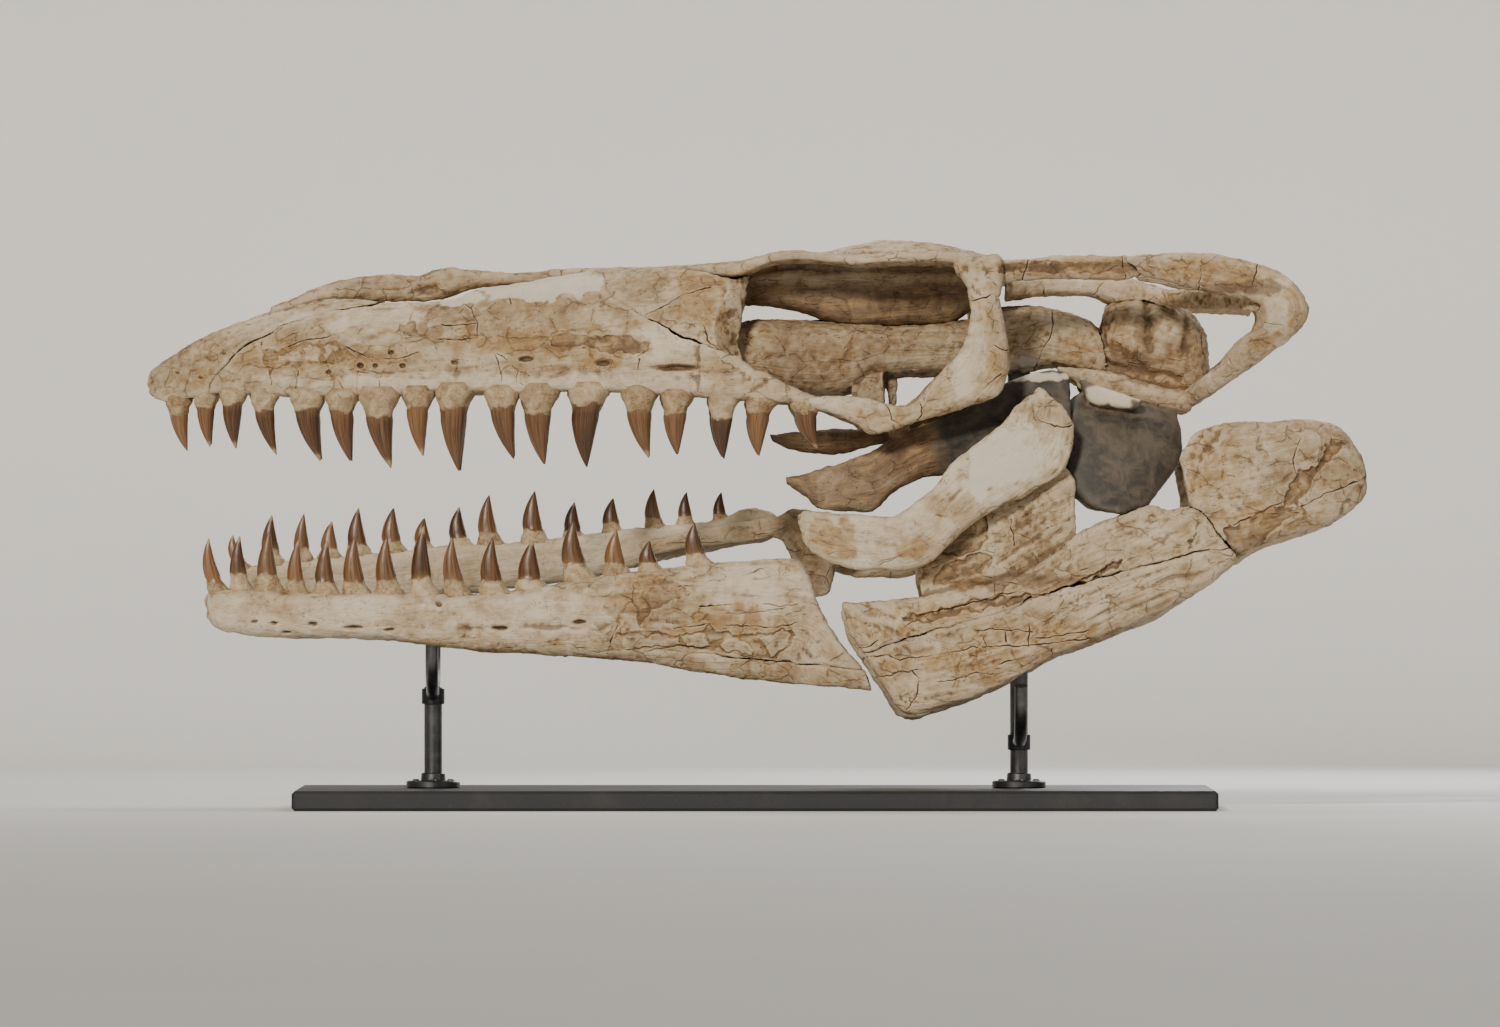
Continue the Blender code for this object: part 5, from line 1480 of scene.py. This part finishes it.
def boneMaterial(name, ochre=0.0, look=boneLook):
    # Tones in patches, fibres along the bone, pores, hair cracks and stains, with painted shade in
    # the hollows and a painted highlight on the edges.
    f = Finish(name)
    place = f.make("ShaderNodeTexCoord", out="Object")
    crack, stain, white, hollow = f.channels("marks")
    brown, grey, plate, fair = f.channels("tints")
    grain = f.attribute("grain", "Vector")
    broad = f.noise(place, look["broadScale"], 4, 0.6, 0.6)
    patch = f.noise(place, look["patchScale"], 6, 0.65, 0.9)
    fine = f.noise(place, look["fineScale"], 5, 0.7)
    sockets = {"Vector": place, "Scale": look["waverScale"], "Detail": 3.0}
    waver = f.make("ShaderNodeTexNoise", None, out="Color", **sockets)
    bent = f.moved(place, waver, look["waver"])
    fibre = f.noise(f.stretched(grain, look["fibreScale"]), 1.0, 4, 0.62)
    streak = f.noise(f.stretched(grain, look["streakScale"]), 1.0, 4, 0.6, 0.4)
    hair = f.cracks(f.stretched(bent, look["hairScale"]), 1.0)
    pore = f.spots(f.stretched(grain, look["poreScale"]), 1.0)
    tone = broad * 0.55 + patch * 0.45 + (plate - 0.5) * 0.10 - fair * 0.14 + 0.015
    base = f.stops(
        tone,
        (0.30, look["cream"]), (0.47, look["pale"]), (0.60, look["tan"]), (0.72, look["umber"]),
    )
    warm = (stain * 1.15 + (patch - 0.5) * 0.8 + ochre).clamped()
    stained = f.stops(
        patch * 0.6 + streak * 0.4,
        (0.35, look["pale"]), (0.5, look["ochre"]), (0.66, look["rust"]),
    )
    base = f.mix(warm * 0.8, base, stained)
    # colour of the brown tint, which holds brown stains and painted shade
    dark = f.stops(
        patch * 0.5 + streak * 0.5,
        (0.34, look["ochre"]), (0.46, look["umber"]), (0.58, look["brown"]),
    )
    base = f.mix(brown, base, dark)
    plaster = f.mix(fine, look["plaster"], look["cream"])
    base = f.mix(white.ramp(0.15, 0.85) * 0.8, base, plaster)
    # dark grey cast: a grey restoration, darkened as painted shade
    cast = f.mix((broad * 0.4 + patch * 0.6).ramp(0.40, 0.62), look["greyDark"], look["greyLight"])
    base = f.mix(grey, base, cast)
    bare = (1 - white) * (1 - grey) * (1 - fair * 0.55)
    base = f.mix(streak.ramp(0.52, 0.70) * bare * 0.50, base, look["umber"])
    base = f.mix(fibre.ramp(0.50, 0.68) * bare * 0.48, base, look["tan"])
    # painted highlight: convex edges mixed towards cream; painted shade: hollows and creases mixed
    # towards brown
    edge = (0.5 - hollow).ramp(0.03, 0.35)
    sunk = (hollow - 0.5).ramp(0.03, 0.40)
    base = f.mix(edge * 0.30 * (1 - brown) * (1 - grey * 0.9), base, look["cream"])
    base = f.mix(sunk * 0.62 * (1 - white * 0.6), base, look["brown"])
    worn = patch.ramp(0.42, 0.62)
    thin = (1 - hair.ramp(0.004, 0.035)) * worn * (1 - white) * (1 - grey) * (1 - fair * 0.8)
    among = f.noise(place, look["speckScale"], 3).ramp(0.52, 0.66)
    speck = (1 - pore.ramp(0.10, 0.32)) * among * (1 - grey)
    base = f.mix(thin * 0.6, base, look["umber"])
    base = f.mix(speck * (1 - fair * 0.6) * 0.55, base, look["brown"])
    base = f.mix(crack.ramp(0.16, 0.95), base, look["crack"])
    height = fibre * 0.55 + streak * 0.45 + fine * 0.22 - thin * 0.6 - speck * 0.6
    height = height * (1 - (white * 0.6).clamped()) * (1 - grey * 0.75)
    rough = (0.62 + patch * 0.22 + white * 0.08 - grey * 0.12).clamped()
    return f.put(
        Base_Color=base, Roughness=rough,
        Normal=f.bump(height, look["bumpStrength"], look["bumpDistance"]),
    )


toothLook = {
    "rootPale": (0.58, 0.46, 0.315),
    "root": (0.42, 0.30, 0.165),
    "rootDark": (0.20, 0.112, 0.048),
    "enamel": (0.112, 0.048, 0.017),
    "enamelDark": (0.042, 0.017, 0.006),
    "enamelPale": (0.255, 0.130, 0.052),
    "crackGap": (0.035, 0.015, 0.008),
    "edge": 0.27,  # where the enamel starts, as a share of a tooth's length
    "edgeSoftness": 0.012,
    "neckWidth": 0.035,
    "patchScale": 110,
    "fineScale": 520,
    "streakScale": (400, 20, 400),  # round the tooth, along it, and one value a tooth
    "thinScale": (1500, 40, 1500),
    "bumpStrength": 0.6,
    "bumpDistance": 0.0009,
}


def toothMaterial(name, look=toothLook):
    # A porous tan root, then a streaked brown crown with a soft gloss.
    f = Finish(name)
    place = f.make("ShaderNodeTexCoord", out="Object")
    height, tone, wear, _ = f.channels("marks")
    grain = f.attribute("grain", "Vector")
    edge, soft = look["edge"], look["edgeSoftness"]
    patch = f.noise(place, look["patchScale"], 4, 0.6, 0.6)
    fine = f.noise(place, look["fineScale"], 4, 0.65)
    streak = f.noise(f.stretched(grain, look["streakScale"]), 1.0, 4, 0.65)
    thin = f.noise(f.stretched(grain, look["thinScale"]), 1.0, 3, 0.6)
    crown = (height + (patch - 0.5) * 0.16).ramp(edge - soft, edge + soft)
    root = f.stops(
        patch * 0.6 + fine * 0.4 + (tone - 0.5) * 0.12,
        (0.34, look["rootPale"]), (0.50, look["root"]), (0.66, look["rootDark"]),
    )
    enamel = f.stops(
        streak * 0.78 + tone * 0.22,
        (0.34, look["enamelDark"]), (0.49, look["enamel"]), (0.66, look["enamelPale"]),
    )
    enamel = f.mix(thin.ramp(0.55, 0.72) * 0.45, enamel, look["enamelPale"])
    enamel = f.mix(thin.ramp(0.42, 0.28) * 0.5, enamel, look["crackGap"])
    enamel = f.mix((wear * 0.8).clamped(), enamel, look["root"])
    lower = (height - edge).ramp(0.16, 0.0) * patch.ramp(0.35, 0.6) * 0.5
    enamel = f.mix(lower, enamel, look["rootDark"])
    neck = (1 - (height - edge).math("ABSOLUTE").ramp(0.0, look["neckWidth"])) * 0.5
    base = f.mix(crown, root, enamel)
    base = f.mix(neck, base, look["rootDark"])
    base = f.mix((1 - height.ramp(-0.06, 0.04)) * 0.35, base, look["rootDark"])
    rough = 0.72 - crown * 0.36 + wear * 0.2
    bumpy = (fine * 0.6 + patch * 0.6) * (1 - crown) + (streak * 0.35 + thin * 0.2) * crown
    return f.put(
        Base_Color=base, Roughness=rough.clamped(), Coat_Weight=crown * 0.12, Coat_Roughness=0.22,
        Normal=f.bump(bumpy, look["bumpStrength"], look["bumpDistance"]),
    )


def boardMaterial(name):
    # Black painted board: a slight grain under matt paint, and dust.
    f = Finish(name)
    place = f.make("ShaderNodeTexCoord", out="Object")
    dust = f.noise(place, 9, 6, 0.7, 0.4)
    speck = f.noise(place, 900, 2, 0.5)
    grain = f.noise(f.stretched(place, (9, 160, 160)), 1.0, 4, 0.6)
    base = f.mix(dust.ramp(0.45, 0.75) * 0.35, (0.016, 0.016, 0.018), (0.060, 0.057, 0.052))
    base = f.mix(speck.ramp(0.66, 0.74) * 0.25, base, (0.16, 0.15, 0.14))
    height = grain * 0.5 + speck * 0.2
    return f.put(
        Base_Color=base, Roughness=0.42 + dust * 0.22, Normal=f.bump(height, 0.25, 0.0004),
    )


def steelMaterial(name):
    # Dark oiled steel, drawn lengthwise.
    f = Finish(name)
    place = f.make("ShaderNodeTexCoord", out="Object")
    drawn = f.noise(f.stretched(place, (900, 900, 30)), 1.0, 3, 0.6)
    patch = f.noise(place, 60, 4, 0.6)
    base = f.mix(patch.ramp(0.4, 0.7), (0.10, 0.10, 0.105), (0.17, 0.165, 0.16))
    return f.put(
        Base_Color=base, Metallic=1.0, Roughness=0.26 + drawn * 0.16 + patch * 0.08,
        Normal=f.bump(drawn, 0.15, 0.0002),
    )


boneFinish = {
    "pale": (boneMaterial("paleFossilBone"), "pale_bone"),
    "ochre": (boneMaterial("ochreFossilBone", 0.30), "ochre_bone"),
    "brown": (boneMaterial("brownPittedBone", 0.15), "brown_bone"),
    "grey": (boneMaterial("greyCastWithPaintedShade"), "grey_cast"),
}
toothFinish = toothMaterial("fossilTooth")

for surface, *_ in roughBones.values():
    surface.settle()
print("bones ready to carve")
madeBones = {}
for name, (surface, spine, side, work) in roughBones.items():
    carve(name, surface, spine, side, work)
    bone = bpy.data.objects.new(name + "_bone", surface.mesh)
    shown.objects.link(bone)
    material, slotName = boneFinish[work.get("look", "pale")]
    bone.data.materials.clear()
    bone.data.materials.append(material)
    bone.data.shade_smooth()
    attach(bone, "root")
    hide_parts(name)
    madeBones[name] = bone
print("bones carved:", sum(len(bone.data.polygons) for bone in madeBones.values()), "quads")


# Teeth

toothWork = {
    "rings": 26,
    "around": 26,
    "closer": 0.9,  # below 1, the rings come closer towards the tip
    "buried": 0.10,  # of the length, below the base
    "flatness": 0.80,  # depth over length of a section
    "lean": (0.6, 0.34),  # how far it bows forward: share of its slant and of its width
    "crownStart": (0.30, 0.36),
    "flutes": 13,
    "fluteDepth": 0.016,
    "fluteEnd": (0.6, 0.95),
    "edgeRidge": 0.05,
    "edgeSharpness": 14,
    "rootEnd": (0.24, 0.32),
    "swellSize": 9,
    "swell": (1.3, 0.12),  # unevenness of a root, less that of a crown, and of a crown, mm
    "edgeUneven": (0.17, 0.035),  # of the line where the enamel starts: between teeth, within one
    "rightRise": (1.5, 1.5),  # mean and swing of how much shorter the right teeth are, mm
    "lowerBow": 1.4,
    "lowerSink": 3,
    "profile": (  # (share of the length, share of the width)
        (-0.10, 0.84), (-0.04, 0.98), (0.02, 1.05), (0.08, 0.98), (0.16, 0.82), (0.24, 0.70),
        (0.32, 0.655), (0.42, 0.61), (0.55, 0.525), (0.68, 0.42), (0.80, 0.295), (0.90, 0.175),
        (0.96, 0.09), (1.0, 0.03),
    ),
}
toothParts = {}


def toothRings(base, tip, width, seed, bow=1.0):
    # Centre + radius(share) * (cos, flatness * sin), with the centre bowing forward.
    w = toothWork
    base, tip = np.array(base, float), np.array(tip, float)
    slant, wideness = w["lean"]
    lean = (abs(tip[0] - base[0]) * slant + width * wideness) * bow
    shares, wides = np.array(w["profile"]).T
    share = np.linspace(0, 1, w["rings"]) ** w["closer"] * (1 + w["buried"]) - w["buried"]
    wide = np.interp(share, shares, wides)
    centre = base + (tip - base) * share[:, None]
    centre[:, 0] -= lean * np.maximum(share, 0) * (1 - share)
    turn = 2 * np.pi * np.arange(w["around"]) / w["around"]
    crown = ramp(share, *w["crownStart"])[:, None]
    ridge = w["edgeRidge"] * np.abs(np.cos(turn)) ** w["edgeSharpness"]
    smoothTip = (1 - ramp(share, *w["fluteEnd"]))[:, None]
    flutes = w["fluteDepth"] * np.cos(turn * w["flutes"] + seed) * smoothTip
    radius = width / 2 * wide[:, None] * (1 + crown * (ridge + flutes))
    grid = np.empty((w["rings"], w["around"], 3))
    grid[:, :, 0] = centre[:, :1] + radius * np.cos(turn)
    grid[:, :, 1] = centre[:, 1:2] + radius * np.sin(turn) * w["flatness"]
    grid[:, :, 2] = centre[:, 2:3]
    flat = grid.reshape(-1, 3)
    root = np.repeat(1 - ramp(share, *w["rootEnd"]), w["around"])
    rootSwell, crownSwell = w["swell"]
    swell = layers(flat, w["swellSize"], seed, 3) * (rootSwell * root + crownSwell)
    out = flat - np.repeat(centre, w["around"], axis=0)
    out /= np.maximum(np.linalg.norm(out, axis=1), 0.4)[:, None]
    grid = (flat + out * swell[:, None]).reshape(grid.shape)
    length = np.linalg.norm(tip - base)
    around = turn * width * 0.5
    along = np.stack(np.broadcast_arrays(around, share[:, None] * length, float(seed)), -1)
    return grid, share, along


def addTooth(home, base, tip, width, seed, bow=1.0):
    # Kept for the piece that holds all teeth of a bone.
    toothParts.setdefault(home, []).append((*toothRings(base, tip, width, seed, bow), seed))


rightTeethShift = (-1.5, 1.0)  # mean and swing, mm
snoutEnd = snout[-1][0]

for word, side in sides:
    for i, (x, tipX, tipZ, width) in enumerate(upperTeeth):
        if side > 0:
            shift = rightTeethShift[0] + rightTeethShift[1] * math.sin(1.7 * i)
            mean, swing = toothWork["rightRise"]
            x, tipX, tipZ = x + shift, tipX + shift, tipZ + mean + swing * math.sin(2.3 * i)
        rows, column, rise = (snout, 2, 0) if x < snoutEnd else (maxillaProcess, 3, 1)
        baseZ = valueAt(rows, column, x) + rise
        depth = side * valueAt(upperRow, 1, x)
        home = "premaxilla" if i < 2 else "maxilla_" + word
        addTooth(home, (x, depth, baseZ), (tipX, depth * 0.97, tipZ), width, 3 * i + side)
for home, teeth, rows in (
    ("dentary_left", lowerTeeth, dentary), ("dentary_right", lowerTeethRight, dentaryRight)
):
    for i, (x, tipX, tipZ, width) in enumerate(teeth):
        depth = valueAt(rows, 4, x)
        baseZ = valueAt(rows, 1, x) - toothWork["lowerSink"]
        tip = (tipX, depth * 1.02, tipZ)
        addTooth(home, (x, depth, baseZ), tip, width, 50 + 3 * i, toothWork["lowerBow"])

for home, teeth in toothParts.items():
    points, faces, marks, grains = [], [], [], []
    offset = 0
    for grid, share, along, seed in teeth:
        rings, count = grid.shape[:2]
        index = offset + np.arange(rings * count).reshape(rings, count)
        faces += ringQuads(index) + [index[0][::-1].tolist(), index[-1].tolist()]
        points.append(grid.reshape(-1, 3))
        tone = hashed(np.int64(seed + 90), np.int64(3), np.int64(5), 1)
        worn = 1.0 * (hashed(np.int64(seed + 90), np.int64(1), np.int64(2), 4) > 0.7)
        ring = np.repeat(share, count)
        between, within = toothWork["edgeUneven"]
        uneven = between * (hashed(np.int64(seed + 90), np.int64(7), np.int64(9), 2) - 0.5)
        uneven = uneven + within * layers(grid.reshape(-1, 3), 8, seed + 5, 3)
        tipWear, one = worn * ramp(ring, 0.86, 0.93), np.ones(len(ring))
        marks.append(np.column_stack([ring + uneven, tone * one, tipWear, one]))
        grains.append(along.reshape(-1, 3) * mm)
        offset += rings * count
    made = meshObject(home + "_teeth", np.vstack(points), faces, shown)
    shape = bmesh.new()
    shape.from_mesh(made.data)
    bmesh.ops.recalc_face_normals(shape, faces=shape.faces[:])
    shape.to_mesh(made.data)
    shape.free()
    paintMesh(made.data, "marks", np.vstack(marks))
    arrowMesh(made.data, "grain", np.vstack(grains))
    made.data.materials.append(toothFinish)
    made.data.shade_smooth()
    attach(made, "root")
    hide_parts(home)
print("teeth:", sum(len(teeth) for teeth in toothParts.values()))


# Stand

standWork = {
    "frontX": -323, "rearX": 265, "postRadius": 9, "armRadius": 6.5, "footRadius": 27,
    "footTop": 27.3, "floor": 20.3, "screws": 3, "screwRing": 20,
    "collar": ((9, -8), (11.4, -7.4), (11.4, 7.4), (9, 8)),  # (radius, height)
}


def lathed(profile, x, y, around=48):
    # A profile of (radius, height) turned round an upright axis.
    angle = 2 * np.pi * np.arange(around) / around
    rows = np.array(profile, float)
    grid = np.empty((len(rows), around, 3))
    grid[:, :, 0] = x + rows[:, :1] * np.cos(angle)
    grid[:, :, 1] = y + rows[:, :1] * np.sin(angle)
    grid[:, :, 2] = rows[:, 1:]
    return closedGrid(grid, "lathed")


def standPost(name, x, top, arms):
    # A screwed foot, an upright rod with a cap, and arms that each leave it through a collar.
    w = standWork
    low, lip, radius, post = w["floor"], w["footTop"], w["footRadius"], w["postRadius"]
    parts = [
        lathed(((radius - 1, low), (radius, low + 0.8), (radius, lip - 1.2), (radius - 1.2, lip),
                (14, lip), (12.5, lip + 0.6), (12, lip + 7), (11, lip + 8), (9, lip + 8)), x, 0),
        lathed(((post, lip), (post, top - 1), (post - 1, top)), x, 0),
    ]
    for i in range(w["screws"]):
        angle = 2 * math.pi * (i + 0.25) / w["screws"]
        place = (x + w["screwRing"] * math.cos(angle), w["screwRing"] * math.sin(angle))
        parts.append(lathed(((3.6, lip - 0.5), (3.6, lip + 0.8), (2.6, lip + 1.6), (1.8, lip + 1.6),
                             (1.5, lip + 0.9)), *place, around=20))
    for line in arms:
        parts.append(rod(line, w["armRadius"]))
        parts.append(lathed([(radius, line[0][2] + up) for radius, up in w["collar"]], x, 0))
    made = joined(parts)
    made.name = name + "_rods"
    shop.objects.unlink(made)
    shown.objects.link(made)
    made.data.materials.append(steelFinish)
    made.data.shade_smooth()
    made.data.set_sharp_from_angle(angle=math.radians(35))
    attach(made, "root")
    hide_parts(name)


steelFinish = steelMaterial("darkSatinSteel")
x = standWork["frontX"]
standPost("stand_post_front", x, 122, [
    [(x, 4, 112), (x, -38, 122), (x, -62, 140), (x, -67, 170)],
    [(x, -4, 112), (x, 36, 128), (x, 58, 158), (x, 63, 212)],
])
x = standWork["rearX"]
standPost("stand_post_rear", x, 433, [
    [(x, -34, 431), (x, 0, 431), (x, 34, 431)],
    [(x, 4, 66), (x, -78, 72), (x, -120, 92), (x, -131, 124)],
    [(x, -4, 66), (x, 78, 72), (x, 120, 90), (x, 131, 116)],
])
boardFinish = boardMaterial("blackPaintedBoard")
base = frame["nodes"]["stand_base"]
for socket in base.material_slots:
    socket.material = boardFinish
print("stand ready")

for left in list(shop.objects):
    bpy.data.objects.remove(left, do_unlink=True)


# Floor, light and camera

stageWork = {
    "behind": 2600, "front": 8600, "half": 4200, "bend": 900,
    "rise": 1250,  # low enough for a view over the wall from behind
}


def sweepFloor():
    # A floor that bends up into a wall, as one sheet.
    w = stageWork
    flat = np.linspace(-w["front"], w["behind"], 12)
    turn = np.linspace(0, np.pi / 2, 24)[1:]
    back, bend = w["behind"], w["bend"]
    curve = np.column_stack([back + bend * np.sin(turn), bend * (1 - np.cos(turn))])
    wall = np.column_stack([np.full(6, back + bend), np.linspace(bend, w["rise"], 7)[1:]])
    line = np.vstack([np.column_stack([flat, np.zeros(12)]), curve, wall])
    xs = np.linspace(-w["half"], w["half"], 9)
    grid = np.empty((len(line), len(xs), 3))
    grid[:, :, 0] = xs
    grid[:, :, 1] = line[:, :1]
    grid[:, :, 2] = line[:, 1:]
    index = np.arange(grid.shape[0] * grid.shape[1]).reshape(grid.shape[:2])
    quads = np.stack([index[:-1, :-1], index[:-1, 1:], index[1:, 1:], index[1:, :-1]], -1)
    faces, place = quads.reshape(-1, 4).tolist(), bpy.context.scene.collection
    made = meshObject("studio_floor", grid.reshape(-1, 3), faces, place)
    made.data.shade_smooth()
    f = Finish("paleFloor")
    place = f.make("ShaderNodeTexCoord", out="Object")
    patch = f.noise(place, 1.3, 3)
    base = f.mix(patch, (0.70, 0.69, 0.67), (0.75, 0.74, 0.72))
    made.data.materials.append(f.put(Base_Color=base, Roughness=0.75))


sweepFloor()


def softLight(name, place, aim, size, power, colour):
    # A rectangular lamp at a place in metres, turned to what it aims at.
    lamp = bpy.data.lights.new(name, "AREA")
    lamp.shape, lamp.size, lamp.size_y = "RECTANGLE", size[0], size[1]
    lamp.energy, lamp.color = power, colour
    made = bpy.data.objects.new(name, lamp)
    made.location = place
    made.rotation_euler = (Vector(aim) - Vector(place)).to_track_quat("-Z", "Y").to_euler()
    bpy.context.scene.collection.objects.link(made)


sun = bpy.data.lights.new("keyLight", "SUN")  # even over the floor and the wall
sun.energy, sun.angle, sun.color = 3.0, math.radians(9), (1.0, 0.945, 0.85)
keyLight = bpy.data.objects.new("keyLight", sun)
keyLight.rotation_euler = Vector((0.31, 0.82, -0.48)).to_track_quat("-Z", "Y").to_euler()
bpy.context.scene.collection.objects.link(keyLight)
middle = (0, 0, 0.30)  # of the skull, m
softLight("fillLight", (2.2, -2.0, 0.9), middle, (1.6, 1.2), 4, (0.97, 0.98, 1.0))
softLight("topLight", (0.2, 0.5, 2.3), middle, (1.6, 0.8), 22, (1.0, 0.97, 0.92))
softLight("backLight", (0.9, 2.1, 1.2), middle, (1.2, 0.8), 24, (0.98, 0.98, 1.0))
world = bpy.data.worlds.new("paleRoom")
world.use_nodes = True
world.node_tree.nodes["Background"].inputs["Color"].default_value = (0.92, 0.91, 0.88, 1)
world.node_tree.nodes["Background"].inputs["Strength"].default_value = 0.22
bpy.context.scene.world = world

# 1500 mm across the frame at the near side of the skull: lens = 36 * distance / 1500
cameraWork = {"distance": 16000, "plane": -60, "lens": 384.0, "clipEnd": 90}
lens = bpy.data.cameras.new("photoCamera")
lens.sensor_width, lens.lens = 36.0, cameraWork["lens"]
lens.clip_end = cameraWork["clipEnd"]
camera = bpy.data.objects.new("photoCamera", lens)
midX = shotWidth / 2 - centreColumn
midZ = floorRow - horizonRow
camera.location = (midX * mm, (cameraWork["plane"] - cameraWork["distance"]) * mm, midZ * mm)
camera.rotation_euler = (math.pi / 2, 0, 0)
bpy.context.scene.collection.objects.link(camera)
bpy.context.scene.camera = camera
print("camera and lights ready")
